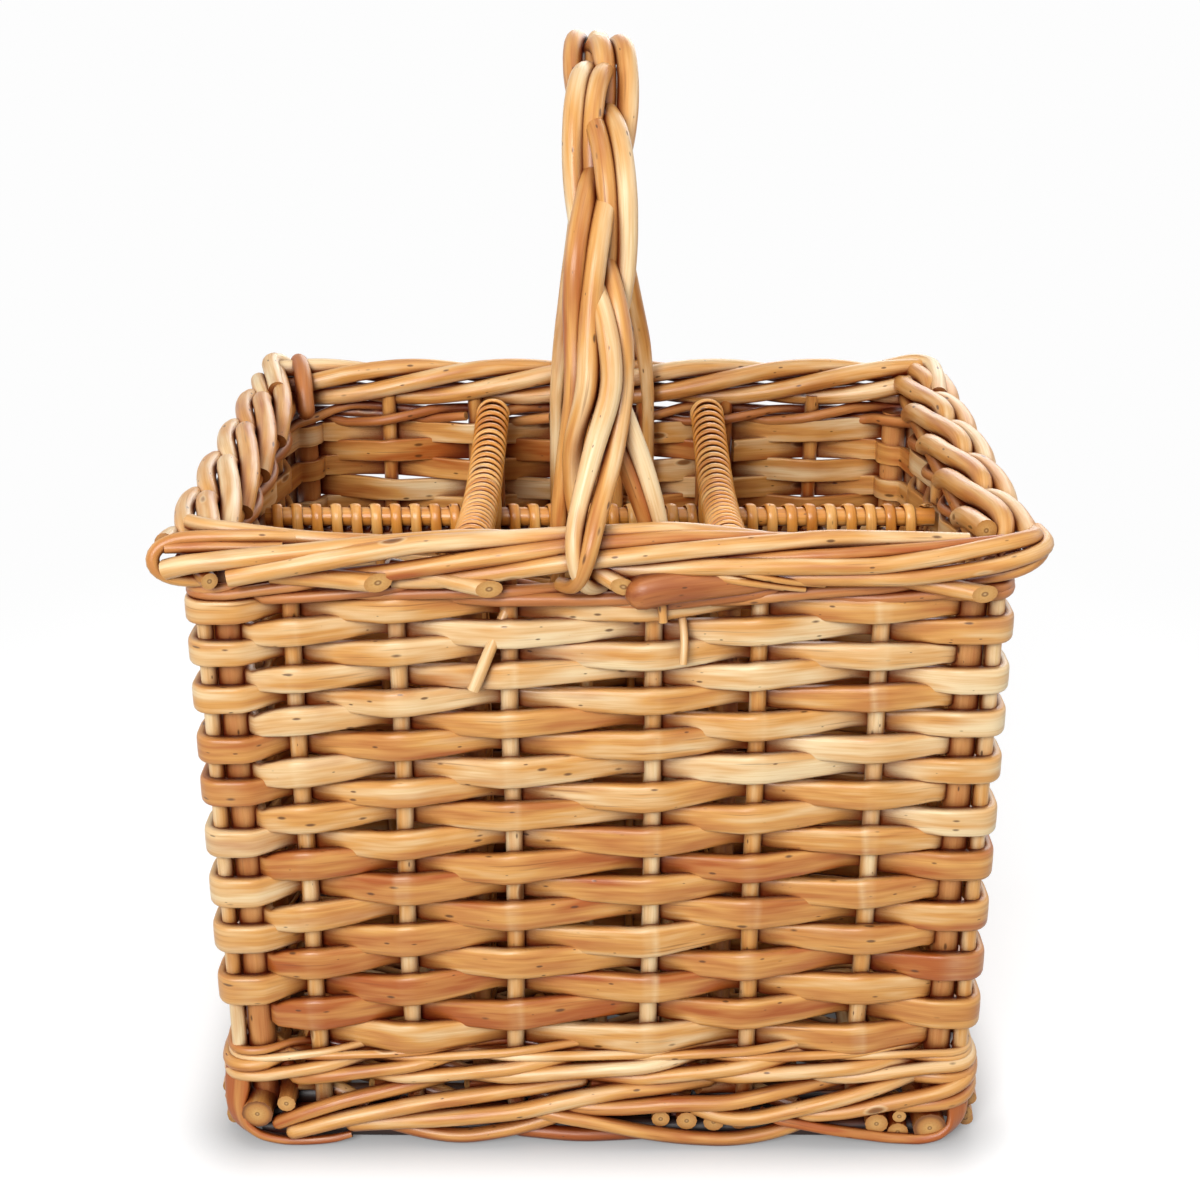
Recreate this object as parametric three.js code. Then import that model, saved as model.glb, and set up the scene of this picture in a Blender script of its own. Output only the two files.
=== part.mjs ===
// A six-bottle wine basket in buff willow, in millimetres, +Z up.
// It stands on z = 0 with the middle of its foot at the origin, and its long front faces -Y.
import * as THREE from "three";

// Walls: the stakes stand on a rectangle through the middle of the weave.
const WALL_HALF_WIDTH = 164;
const WALL_HALF_DEPTH = 119.5;
const STAKE_DIAMETER = 8;
const POST_DIAMETER = 13;
const POST_INSET_X = 8.5;
const POST_INSET_Y = 3;
const WALL_CORNER_RADIUS = 2.5;
const CLEARANCE = 0.3;

// Front stakes stand off their even spacing by these amounts, as the maker left them.
const FRONT_STAKE_SHIFTS = [-17.6, -18.8, -15.9, 0, 0, 6.6];
const BACK_STAKES = 6;
const SIDE_STAKES = 4;

// Foot, base and lower wale.
const FOOT_HEIGHT = 7.7;
const FOOT_WIDTH = 18;
const FOOT_OFFSET = -3;
const BASE_THICKNESS = 12;
const BASE_STICKS = 9;
const BASE_ROWS = 15;
const BASE_RELIEF = 5;
const WALE_HEIGHT = 41;
const WALE_THICKNESS = 4.8;
const WALE_RIDGES = 3;
const WALE_GROOVE_DEPTH = 1.6;

// Siding: each course is one split rod, taller near the foot than near the rim.
const COURSES = 18;
const WEAVER_THICKNESS = 4.8;
const COURSE_PITCH_FOOT = 13.4;
const COURSE_PITCH_RIM = 10;
const COURSE_GAP = 0.5;
const WEAVER_FACE_SHARE = 0.62;
const WEAVER_BEARING = 4.8;
const CORNER_FOLD = 5;
const CORNER_RUN = 18;

// Border: two thick strands twisted round each other along the rim.
const BORDER_STRAND_DIAMETER = 11.4;
const BORDER_TWIST_RADIUS = 6.4;
const BORDER_OVERHANG = 3.5;
const BORDER_CORNER_RADIUS = 24;
const BORDER_TWISTS = 11;
const UPPER_WALE_SPACE = 7.5;

// Handle: four rods roped together over a bow from front to back.
const HANDLE_ROD_DIAMETER = 12;
const HANDLE_TWIST_RADIUS = 9.2;
const HANDLE_RISE = 168;
const HANDLE_TAIL_RUN = 90;
const HANDLE_TAIL_SPREAD = 8;

// Rails and the split cane wound on them.
const CROSS_RAIL_DIAMETER = 12;
const CROSS_RAIL_SPACING = 110;
const CROSS_RAIL_BEND = 14;
const CROSS_CANE_WIDTH = 7;
const CROSS_CANE_THICKNESS = 1.9;
const CROSS_CANE_LOOPS = 19;
const LONG_RAIL_DIAMETER = 9;
const LONG_RAIL_BELOW_RIM = 41.1;
const LONG_CANE_WIDTH = 5.3;
const LONG_CANE_THICKNESS = 1.6;
const LONG_CANE_LOOPS = 24;
const CANE_CLEARANCE = 0.75;

// Partitions: bands of rods that swing to one side of a stick and to the other side of the next.
const PARTITION_THICKNESS = 5;
const PARTITION_BANDS = 10;
const PARTITION_SWING = 1.8;
const CROSS_PANEL_STICKS = 2;

// Facets round each section, and steps along each bend.
const STAKE_FACETS = 8;
const POST_FACETS = 12;
const RAIL_FACETS = 10;
const STRAND_FACETS = 6;
const HANDLE_FACETS = 6;
const FOOT_CORNER_STEPS = 3;
const WALE_CORNER_STEPS = 4;
const BORDER_CORNER_STEPS = 4;
const BEND_STEPS = 4;
const ARCH_STEPS = 36;
const HANDLE_STEPS = 58;
const STEPS_PER_TWIST = 8;
const STEPS_PER_LOOP = 8;

// Heights and offsets worked out from the sizes above.
const stakeRadius = STAKE_DIAMETER / 2;
const postRadius = POST_DIAMETER / 2;
const crest = stakeRadius + CLEARANCE + WEAVER_THICKNESS / 2;
const wallReach = crest + WEAVER_THICKNESS / 2;
const baseBottom = FOOT_HEIGHT + CLEARANCE;
const baseTop = baseBottom + BASE_THICKNESS;
const waleBottom = baseTop + CLEARANCE;
const waleTop = waleBottom + WALE_HEIGHT;
const sidingBottom = waleTop + CLEARANCE;
const sidingTop = sidingBottom + (COURSES * (COURSE_PITCH_FOOT + COURSE_PITCH_RIM)) / 2;
const borderReach = BORDER_TWIST_RADIUS + BORDER_STRAND_DIAMETER / 2;
const borderBottom = sidingTop + UPPER_WALE_SPACE;
const borderMiddle = borderBottom + borderReach;
const borderTop = borderMiddle + borderReach;
const stakeTop = borderBottom - CLEARANCE;
const postX = WALL_HALF_WIDTH - POST_INSET_X;
const postY = WALL_HALF_DEPTH - POST_INSET_Y;
const innerX = WALL_HALF_WIDTH - wallReach;
const innerY = WALL_HALF_DEPTH - wallReach;

const willow = (colour) =>
  new THREE.MeshStandardMaterial({ color: colour, roughness: 0.5, metalness: 0 });
const BUFF_WILLOW = willow(0xd9ac6c);
const PALE_WILLOW = willow(0xe3bf85);
const RED_WILLOW = willow(0x9a6430);
const SPLIT_CANE = willow(0xd8a45c);

const basket = new THREE.Group();

function addPiece(name, geometry, material) {
  const mesh = new THREE.Mesh(geometry, material);
  mesh.name = name;
  basket.add(mesh);
  return mesh;
}

// A closed solid from its points and faces, turned over if its faces look inwards.
function closedSolid(points, faces) {
  let volume = 0;
  for (let i = 0; i < faces.length; i += 3) {
    const [a, b, c] = faces.slice(i, i + 3).map((n) => points[n]);
    volume += a.dot(new THREE.Vector3().crossVectors(b, c));
  }
  if (volume < 0) faces.reverse();
  const geometry = new THREE.BufferGeometry().setFromPoints(points);
  geometry.setIndex(faces);
  geometry.computeVertexNormals();
  return geometry;
}

// Skin of a rod: rings of points joined one to the next, closed on itself or capped at both ends.
function skin(rings, closed) {
  const sides = rings[0].length;
  const points = rings.flat();
  const faces = [];
  const spans = closed ? rings.length : rings.length - 1;
  for (let i = 0; i < spans; i++) {
    const here = i * sides;
    const next = ((i + 1) % rings.length) * sides;
    for (let j = 0; j < sides; j++) {
      const k = (j + 1) % sides;
      faces.push(here + j, next + j, next + k, here + j, next + k, here + k);
    }
  }
  if (!closed) {
    const last = (rings.length - 1) * sides;
    for (let j = 1; j < sides - 1; j++) {
      faces.push(0, j, j + 1, last, last + j + 1, last + j);
    }
  }
  return closedSolid(points, faces);
}

// A level loop swept with a section of [outward, upward] points, mitred where the loop turns.
function sweepLoop(path, height, section) {
  const count = path.length;
  const rings = path.map((point, i) => {
    const before = point.clone().sub(path[(i + count - 1) % count]).normalize();
    const after = path[(i + 1) % count].clone().sub(point).normalize();
    const along = before.clone().add(after).normalize();
    const outward = new THREE.Vector2(along.y, -along.x);
    const stretch = 1 / before.dot(along);
    return section.map(([out, up]) => {
      const at = outward.clone().multiplyScalar(out * stretch).add(point);
      return new THREE.Vector3(at.x, at.y, height + up);
    });
  });
  return skin(rings, true);
}

// Counter-clockwise loop at one offset from the stakes' line, round the corner posts.
function roundedLoop(halfWidth, halfDepth, radius, arcSteps) {
  const path = [];
  const corners = [[-1, -1], [1, -1], [1, 1], [-1, 1]];
  corners.forEach(([sx, sy], corner) => {
    for (let i = 0; i <= arcSteps; i++) {
      const turn = Math.PI * (1 + corner / 2 + i / (2 * arcSteps));
      path.push(
        new THREE.Vector2(
          sx * (halfWidth - radius) + radius * Math.cos(turn),
          sy * (halfDepth - radius) + radius * Math.sin(turn),
        ),
      );
    }
  });
  return path;
}

function offsetLoop(offset, arcSteps) {
  return roundedLoop(
    WALL_HALF_WIDTH + offset,
    WALL_HALF_DEPTH + offset,
    offset + WALL_CORNER_RADIUS,
    arcSteps,
  );
}

function roundRod(diameter, sides) {
  const shape = new THREE.Shape();
  for (let i = 0; i < sides; i++) {
    const turn = (2 * Math.PI * (i + 0.5)) / sides;
    const x = (diameter / 2) * Math.cos(turn);
    const y = (diameter / 2) * Math.sin(turn);
    if (i === 0) shape.moveTo(x, y);
    else shape.lineTo(x, y);
  }
  shape.closePath();
  return shape;
}

function rodAlong(points, diameter, sides, steps) {
  const path = new THREE.CatmullRomCurve3(points, false, "centripetal");
  return new THREE.ExtrudeGeometry(roundRod(diameter, sides), {
    steps,
    bevelEnabled: false,
    extrudePath: path,
  });
}

// Foot border: the flat-bottomed ring on which the basket stands.
const footHalf = FOOT_WIDTH / 2;
const footSection = [
  [-footHalf, -FOOT_HEIGHT / 2],
  [footHalf, -FOOT_HEIGHT / 2],
  [footHalf, FOOT_HEIGHT / 2],
  [-footHalf, FOOT_HEIGHT / 2],
];
const footLoop = roundedLoop(
  WALL_HALF_WIDTH + FOOT_OFFSET,
  WALL_HALF_DEPTH + FOOT_OFFSET,
  footHalf + WALL_CORNER_RADIUS,
  FOOT_CORNER_STEPS,
);
addPiece("foot_border", sweepLoop(footLoop, FOOT_HEIGHT / 2, footSection), BUFF_WILLOW);

function evenly(count, reach) {
  return Array.from({ length: count }, (_, i) => ((2 * (i + 1)) / (count + 1) - 1) * reach);
}

// Woven base: level on top and along the foot, and underneath it rises wherever a row of rods
// passes over a stick.
function wovenBase() {
  const outline = offsetLoop(stakeRadius, FOOT_CORNER_STEPS);
  const edge = outline.length;
  const frameX = WALL_HALF_WIDTH + FOOT_OFFSET - footHalf;
  const frameY = WALL_HALF_DEPTH + FOOT_OFFSET - footHalf;
  const sticks = [-frameX, ...evenly(BASE_STICKS, frameX), frameX];
  const rows = [-frameY, ...evenly(BASE_ROWS, frameY), frameY];
  const points = [baseTop, baseBottom].flatMap((z) =>
    outline.map((p) => new THREE.Vector3(p.x, p.y, z)),
  );
  const crossing = (i, j) => 2 * edge + i * rows.length + j;
  sticks.forEach((x, i) => {
    rows.forEach((y, j) => {
      const woven = i % (BASE_STICKS + 1) > 0 && j % (BASE_ROWS + 1) > 0;
      const rise = woven && (i + j) % 2 === 0 ? BASE_RELIEF : 0;
      points.push(new THREE.Vector3(x, y, baseBottom + rise));
    });
  });

  const faces = [];
  for (let i = 0; i <= BASE_STICKS; i++) {
    for (let j = 0; j <= BASE_ROWS; j++) {
      const [a, b] = [crossing(i, j), crossing(i, j + 1)];
      const [c, d] = [crossing(i + 1, j + 1), crossing(i + 1, j)];
      faces.push(a, b, c, a, c, d);
    }
  }
  const inner = [];
  for (let i = 0; i <= BASE_STICKS; i++) inner.push(crossing(i, 0));
  for (let j = 0; j <= BASE_ROWS; j++) inner.push(crossing(BASE_STICKS + 1, j));
  for (let i = BASE_STICKS + 1; i > 0; i--) inner.push(crossing(i, BASE_ROWS + 1));
  for (let j = BASE_ROWS + 1; j > 0; j--) inner.push(crossing(0, j));
  const hole = inner.map((n) => new THREE.Vector2(points[n].x, points[n].y));
  const rim = [...outline.map((_, k) => edge + k), ...inner];
  for (const [a, b, c] of THREE.ShapeUtils.triangulateShape(outline, [hole])) {
    faces.push(rim[a], rim[c], rim[b]);
  }
  for (const top of THREE.ShapeUtils.triangulateShape(outline, [])) faces.push(...top);
  for (let k = 0; k < edge; k++) {
    const next = (k + 1) % edge;
    faces.push(edge + k, edge + next, next, edge + k, next, k);
  }
  return closedSolid(points, faces);
}
addPiece("base_weave", wovenBase(), BUFF_WILLOW);

// Uprights, in order round the basket: each has a place, a radius and the way out of the wall.

const out = { front: [0, -1], right: [1, 0], back: [0, 1], left: [-1, 0] };
const uprights = [];

function addCorner(name, sx, sy) {
  uprights.push({ name, x: sx * postX, y: sy * postY, corner: [sx, sy] });
}

function addStakes(side, places) {
  places.forEach(([x, y], i) => {
    uprights.push({ name: `stake_${side}_${i + 1}`, x, y, out: out[side] });
  });
}

const frontPlaces = evenly(FRONT_STAKE_SHIFTS.length, postX).map((x, i) => [
  x + FRONT_STAKE_SHIFTS[i],
  -WALL_HALF_DEPTH,
]);
const sidePlaces = evenly(SIDE_STAKES, postY);
const backPlaces = evenly(BACK_STAKES, postX);
addCorner("corner_post_front_left", -1, -1);
addStakes("front", frontPlaces);
addCorner("corner_post_front_right", 1, -1);
addStakes("right", sidePlaces.map((y) => [WALL_HALF_WIDTH, y]));
addCorner("corner_post_back_right", 1, 1);
addStakes("back", backPlaces.map((x) => [-x, WALL_HALF_DEPTH]));
addCorner("corner_post_back_left", -1, 1);
addStakes("left", sidePlaces.map((y) => [-WALL_HALF_WIDTH, -y]));

const stakeLength = stakeTop - waleBottom;
for (const { name, x, y, corner } of uprights) {
  const radius = corner ? postRadius : stakeRadius;
  const facets = corner ? POST_FACETS : STAKE_FACETS;
  const geometry = new THREE.CylinderGeometry(radius, radius, stakeLength, facets);
  geometry.rotateX(Math.PI / 2);
  const piece = addPiece(name, geometry, corner ? RED_WILLOW : BUFF_WILLOW);
  piece.position.set(x, y, waleBottom + stakeLength / 2);
}

// Lower wale: a band of thin rods outside the stakes, with one ridge for each round of rods.
const waleFace = WALE_THICKNESS / 2;
const waleSection = [
  [-waleFace, WALE_HEIGHT / 2],
  [-waleFace, -WALE_HEIGHT / 2],
];
for (let i = 0; i <= 2 * WALE_RIDGES; i++) {
  const reach = i % 2 === 1 ? waleFace : waleFace - WALE_GROOVE_DEPTH;
  waleSection.push([reach, WALE_HEIGHT * (i / (2 * WALE_RIDGES) - 0.5)]);
}
const waleLoop = offsetLoop(stakeRadius + CLEARANCE + waleFace, WALE_CORNER_STEPS);
const waleMiddle = (waleBottom + waleTop) / 2;
addPiece("lower_wale", sweepLoop(waleLoop, waleMiddle, waleSection), BUFF_WILLOW);

// Siding: one weaver for each course, outside one upright and inside the next.
// Outside a corner it is folded square, with room for a thin stake beside the post.
function cornerFold([sx, sy]) {
  const fold = new THREE.Vector2(sx * (WALL_HALF_WIDTH + crest), sy * (WALL_HALF_DEPTH + crest));
  const arrive = sx * sy > 0 ? new THREE.Vector2(0, sy) : new THREE.Vector2(sx, 0);
  const leave = sx * sy > 0 ? new THREE.Vector2(-sx, 0) : new THREE.Vector2(0, -sy);
  return [
    fold.clone().addScaledVector(arrive, -CORNER_RUN),
    fold.clone().addScaledVector(arrive, -CORNER_FOLD),
    fold.clone().addScaledVector(leave, CORNER_FOLD),
    fold.clone().addScaledVector(leave, CORNER_RUN),
  ];
}

function weaverPath(course) {
  const path = [];
  const facet = Math.PI / 4;
  const turnRadius = (postRadius + CLEARANCE + WEAVER_THICKNESS / 2) / Math.cos(facet / 2);
  uprights.forEach(({ x, y, corner, out: away }, place) => {
    const side = (place + course) % 2 === 0 ? 1 : -1;
    if (corner && side > 0) {
      path.push(...cornerFold(corner));
      return;
    }
    if (corner) {
      const middle = Math.atan2(-corner[1], -corner[0]);
      for (const step of [1.5, 0.5, -0.5, -1.5]) {
        const turn = middle + step * facet;
        const round = new THREE.Vector2(Math.cos(turn), Math.sin(turn)).multiplyScalar(turnRadius);
        path.push(round.add(new THREE.Vector2(x, y)));
      }
      return;
    }
    for (const step of [-WEAVER_BEARING / 2, WEAVER_BEARING / 2]) {
      const along = [-away[1] * step, away[0] * step];
      path.push(
        new THREE.Vector2(
          x + along[0] + away[0] * side * crest,
          y + along[1] + away[1] * side * crest,
        ),
      );
    }
  });
  return path;
}

let courseBottom = sidingBottom;
for (let course = 1; course <= COURSES; course++) {
  const share = (course - 0.5) / COURSES;
  const pitch = COURSE_PITCH_FOOT + (COURSE_PITCH_RIM - COURSE_PITCH_FOOT) * share;
  const half = (pitch - COURSE_GAP) / 2;
  const section = [
    [-WEAVER_THICKNESS / 2, -half],
    [WEAVER_THICKNESS / 2, -half * WEAVER_FACE_SHARE],
    [WEAVER_THICKNESS / 2, half * WEAVER_FACE_SHARE],
    [-WEAVER_THICKNESS / 2, half],
  ];
  const name = `siding_course_${String(course).padStart(2, "0")}`;
  const shade = course % 3 === 0 ? PALE_WILLOW : BUFF_WILLOW;
  addPiece(name, sweepLoop(weaverPath(course), courseBottom + pitch / 2, section), shade);
  courseBottom += pitch;
}

// Border: two strands that turn round each other along the rim and close on themselves.
const borderCurve = new THREE.CatmullRomCurve3(
  roundedLoop(
    WALL_HALF_WIDTH + BORDER_OVERHANG,
    WALL_HALF_DEPTH + BORDER_OVERHANG,
    BORDER_CORNER_RADIUS,
    BORDER_CORNER_STEPS,
  ).map((p) => new THREE.Vector3(p.x, p.y, borderMiddle)),
  true,
  "centripetal",
);
const UP = new THREE.Vector3(0, 0, 1);
const borderSteps = BORDER_TWISTS * STEPS_PER_TWIST;
for (const strand of [0, 1]) {
  const rings = [];
  for (let i = 0; i < borderSteps; i++) {
    const share = i / borderSteps;
    const along = borderCurve.getTangentAt(share);
    const outward = new THREE.Vector3().crossVectors(along, UP).normalize();
    const turn = 2 * Math.PI * (BORDER_TWISTS * share + strand / 2);
    const middle = borderCurve
      .getPointAt(share)
      .addScaledVector(outward, BORDER_TWIST_RADIUS * Math.sin(turn))
      .addScaledVector(UP, -BORDER_TWIST_RADIUS * Math.cos(turn));
    const ring = [];
    for (let j = 0; j < STRAND_FACETS; j++) {
      const angle = (2 * Math.PI * (j + 0.5)) / STRAND_FACETS;
      ring.push(
        middle
          .clone()
          .addScaledVector(outward, (BORDER_STRAND_DIAMETER / 2) * Math.cos(angle))
          .addScaledVector(UP, (BORDER_STRAND_DIAMETER / 2) * Math.sin(angle)),
      );
    }
    rings.push(ring);
  }
  addPiece(`border_strand_${strand + 1}`, skin(rings, true), PALE_WILLOW);
}

// Long rail: a rod from side to side under the cross rails.
const longRailHeight = borderTop - LONG_RAIL_BELOW_RIM;
const longReach = innerX - CLEARANCE;
const longRail = new THREE.CylinderGeometry(
  LONG_RAIL_DIAMETER / 2,
  LONG_RAIL_DIAMETER / 2,
  2 * longReach,
  RAIL_FACETS,
);
longRail.rotateZ(Math.PI / 2);
addPiece("long_rail", longRail, BUFF_WILLOW).position.z = longRailHeight;
const longCaneReach = LONG_RAIL_DIAMETER / 2 + CANE_CLEARANCE + LONG_CANE_THICKNESS;

// Cross rails: bent rods that stand on the base, cross over the long rail and go down again.
const crossCaneReach = CROSS_RAIL_DIAMETER / 2 + CANE_CLEARANCE + CROSS_CANE_THICKNESS;
const crossRailHeight = longRailHeight + longCaneReach + CLEARANCE + crossCaneReach;
const legY = innerY - CLEARANCE - CROSS_RAIL_DIAMETER / 2;
function crossRailPath() {
  const bendY = legY - CROSS_RAIL_BEND;
  const bendZ = crossRailHeight - CROSS_RAIL_BEND;
  const points = [new THREE.Vector3(0, -legY, baseTop + CLEARANCE)];
  for (const side of [-1, 1]) {
    for (let i = 0; i <= BEND_STEPS; i++) {
      const turn = (Math.PI / 2) * (side < 0 ? i / BEND_STEPS : 1 - i / BEND_STEPS);
      const reach = bendY + CROSS_RAIL_BEND * Math.cos(turn);
      points.push(new THREE.Vector3(0, side * reach, bendZ + CROSS_RAIL_BEND * Math.sin(turn)));
    }
  }
  points.push(new THREE.Vector3(0, legY, baseTop + CLEARANCE));
  return points;
}

// Rod through level-framed corner points: each ring lies square to the mean of its two runs.
function bentRod(points, diameter, sides) {
  const across = new THREE.Vector3(1, 0, 0);
  const rings = points.map((point, i) => {
    const before = point.clone().sub(points[Math.max(i - 1, 0)]).normalize();
    const after = points[Math.min(i + 1, points.length - 1)].clone().sub(point).normalize();
    const along = before.add(after).normalize();
    const upward = new THREE.Vector3().crossVectors(along, across).normalize();
    return Array.from({ length: sides }, (_, j) => {
      const turn = (2 * Math.PI * j) / sides;
      return point
        .clone()
        .addScaledVector(across, (diameter / 2) * Math.cos(turn))
        .addScaledVector(upward, (diameter / 2) * Math.sin(turn));
    });
  });
  return skin(rings, false);
}

// Cane: a flat strip wound in an open helix along a rail, with its ends run out straight.
function windCane(loops, length, innerRadius, width, thickness) {
  const steps = loops * STEPS_PER_LOOP;
  const pitch = length / loops;
  const middle = innerRadius + thickness / 2;
  const stations = [];
  for (let i = 0; i <= steps; i++) {
    const turn = (2 * Math.PI * i) / STEPS_PER_LOOP;
    const radial = new THREE.Vector3(0, Math.cos(turn), Math.sin(turn));
    const along = new THREE.Vector3(
      pitch / (2 * Math.PI),
      -middle * Math.sin(turn),
      middle * Math.cos(turn),
    ).normalize();
    const at = radial.clone().multiplyScalar(middle);
    at.x = (length * i) / steps - length / 2;
    stations.push({ at, radial, along });
  }
  const first = stations[0];
  const last = stations[steps];
  const runOut = (end, sign) => {
    const at = end.at.clone().addScaledVector(end.along, sign * width);
    return { ...end, at };
  };
  stations.unshift(runOut(first, -1));
  stations.push(runOut(last, 1));
  const rings = stations.map(({ at, radial, along }) => {
    const sideways = new THREE.Vector3().crossVectors(along, radial);
    return [[-1, -1], [1, -1], [1, 1], [-1, 1]].map(([across, up]) =>
      at
        .clone()
        .addScaledVector(sideways, (across * width) / 2)
        .addScaledVector(radial, (up * thickness) / 2),
    );
  });
  return { rings, geometry: skin(rings, false) };
}

// Least gap between a loop of the cane and the next, over the points of the strip's edges.
function leastGap(rings) {
  let least = Infinity;
  rings.forEach((ring, i) => {
    for (let j = i + Math.floor(STEPS_PER_LOOP / 2) + 1; j < rings.length; j++) {
      for (const corner of ring) {
        least = Math.min(least, ...rings[j].map((other) => corner.distanceTo(other)));
      }
    }
  });
  return least;
}

function addCane(name, loops, length, railDiameter, width, thickness) {
  const cane = windCane(loops, length, railDiameter / 2 + CANE_CLEARANCE, width, thickness);
  console.log(`${name}: least gap to itself ${leastGap(cane.rings).toFixed(2)} mm`);
  return addPiece(name, cane.geometry, SPLIT_CANE);
}

const longCane = addCane(
  "long_rail_cane",
  LONG_CANE_LOOPS,
  2 * (longReach - LONG_CANE_WIDTH),
  LONG_RAIL_DIAMETER,
  LONG_CANE_WIDTH,
  LONG_CANE_THICKNESS,
);
longCane.position.z = longRailHeight;

for (const [side, sign] of [["left", -1], ["right", 1]]) {
  const x = (sign * CROSS_RAIL_SPACING) / 2;
  const rail = bentRod(crossRailPath(), CROSS_RAIL_DIAMETER, RAIL_FACETS);
  addPiece(`cross_rail_${side}`, rail, BUFF_WILLOW).position.x = x;
  const cane = addCane(
    `cross_rail_cane_${side}`,
    CROSS_CANE_LOOPS,
    2 * (legY - CROSS_RAIL_BEND - CROSS_CANE_WIDTH / 2),
    CROSS_RAIL_DIAMETER,
    CROSS_CANE_WIDTH,
    CROSS_CANE_THICKNESS,
  );
  cane.rotation.z = Math.PI / 2;
  cane.position.set(x, 0, crossRailHeight);
}

// Partitions: panels under the rails, halved together where they cross.
const halving = PARTITION_THICKNESS / 2 + CLEARANCE;
const panelFoot = baseTop + CLEARANCE;
const longPanelTop = longRailHeight - longCaneReach - CLEARANCE;
const crossPanelTop = crossRailHeight - crossCaneReach - CLEARANCE;
const halfwayUp = (panelFoot + longPanelTop) / 2;

function panel(outline) {
  const shape = new THREE.Shape(outline.map(([along, up]) => new THREE.Vector2(along, up)));
  const geometry = new THREE.ExtrudeGeometry(shape, {
    depth: PARTITION_THICKNESS,
    bevelEnabled: false,
  });
  geometry.translate(0, 0, -PARTITION_THICKNESS / 2);
  geometry.rotateX(Math.PI / 2);
  return geometry;
}

const railX = CROSS_RAIL_SPACING / 2;
const longPanel = panel([
  [-longReach, panelFoot],
  [-railX - halving, panelFoot],
  [-railX - halving, halfwayUp + CLEARANCE],
  [-railX + halving, halfwayUp + CLEARANCE],
  [-railX + halving, panelFoot],
  [railX - halving, panelFoot],
  [railX - halving, halfwayUp + CLEARANCE],
  [railX + halving, halfwayUp + CLEARANCE],
  [railX + halving, panelFoot],
  [longReach, panelFoot],
  [longReach, longPanelTop],
  [-longReach, longPanelTop],
]);
addPiece("long_partition", longPanel, BUFF_WILLOW);

// A panel from the crossings of its sticks and bands: each crossing has a place along the panel, a
// height and a swing to one side, and the panel fills the cells that are kept.
function wovenPanel(places, heights, swing, kept) {
  const points = [];
  const numbers = new Map();
  const corner = (i, j, face) => {
    const key = `${i} ${j} ${face}`;
    if (!numbers.has(key)) {
      numbers.set(key, points.length);
      const square = (face * PARTITION_THICKNESS) / 2 + swing(i, j);
      points.push(new THREE.Vector3(places[i], square, heights[j]));
    }
    return numbers.get(key);
  };
  const faces = [];
  const addQuad = (a, b, c, d) => faces.push(a, b, c, a, c, d);
  for (let i = 0; i < places.length - 1; i++) {
    for (let j = 0; j < heights.length - 1; j++) {
      if (!kept(i, j)) continue;
      const cell = [[i, j], [i + 1, j], [i + 1, j + 1], [i, j + 1]];
      const beside = [[i, j - 1], [i + 1, j], [i, j + 1], [i - 1, j]];
      addQuad(...cell.map(([m, n]) => corner(m, n, -1)));
      addQuad(...cell.map(([m, n]) => corner(m, n, 1)).reverse());
      cell.forEach(([m, n], k) => {
        const [p, q] = cell[(k + 1) % cell.length];
        if (kept(...beside[k])) return;
        addQuad(corner(p, q, -1), corner(m, n, -1), corner(m, n, 1), corner(p, q, 1));
      });
    }
  }
  return closedSolid(points, faces);
}

// Each cross panel is cut away over the halving, round the long rail's cane and at the rail's bends.
const crossReach = legY - CROSS_RAIL_DIAMETER / 2 - CLEARANCE;
const caneNotch = longCaneReach + CLEARANCE;
const crossFlat = legY - CROSS_RAIL_BEND;
const stickGap = (crossFlat - caneNotch) / (CROSS_PANEL_STICKS + 1);
const halfPlaces = [halving, caneNotch];
for (let n = 1; n <= CROSS_PANEL_STICKS; n++) halfPlaces.push(caneNotch + n * stickGap);
halfPlaces.push(crossFlat, crossReach);
const crossPlaces = [...halfPlaces.map((place) => -place).reverse(), ...halfPlaces];
const crossHeights = [];
for (let band = 0; band <= PARTITION_BANDS; band++) {
  crossHeights.push(panelFoot + ((longPanelTop - panelFoot) * band) / PARTITION_BANDS);
}
crossHeights.push(crossPanelTop);

function crossSwing(i, j) {
  const place = Math.abs(crossPlaces[i]);
  const atStick = place > caneNotch && place < crossFlat;
  if (!atStick || j === 0 || j >= PARTITION_BANDS) return 0;
  return (i + j) % 2 === 0 ? PARTITION_SWING : -PARTITION_SWING;
}

function crossKept(i, j) {
  const last = crossPlaces.length - 2;
  if (i < 0 || i > last || j < 0 || j > PARTITION_BANDS) return false;
  const place = Math.abs(crossPlaces[i] + crossPlaces[i + 1]) / 2;
  if (j === PARTITION_BANDS) return place > caneNotch && place < crossFlat;
  return place > halving || j < PARTITION_BANDS / 2;
}

for (const [side, sign] of [["left", -1], ["right", 1]]) {
  const crossPanel = wovenPanel(crossPlaces, crossHeights, crossSwing, crossKept);
  const piece = addPiece(`cross_partition_${side}`, crossPanel, BUFF_WILLOW);
  piece.rotation.z = Math.PI / 2;
  piece.position.x = sign * railX;
}

// Handle: rods that make one turn over the bow; the outer two end on the border and the inner two
// run on down the inside of the wall and stand on the base.
const rodRadius = HANDLE_ROD_DIAMETER / 2;
const splay = HANDLE_TWIST_RADIUS * Math.SQRT1_2;
const borderInnerY = WALL_HALF_DEPTH + BORDER_OVERHANG - borderReach;
const tailY = Math.min(innerY, borderInnerY) - CLEARANCE - rodRadius;
const handleHalfSpan = tailY + splay;
const handleFoot = borderTop + CLEARANCE;

function bowPoint(turn) {
  const y = -handleHalfSpan * Math.cos(turn);
  return new THREE.Vector3(0, y, handleFoot + HANDLE_RISE * Math.sin(turn));
}

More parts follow.
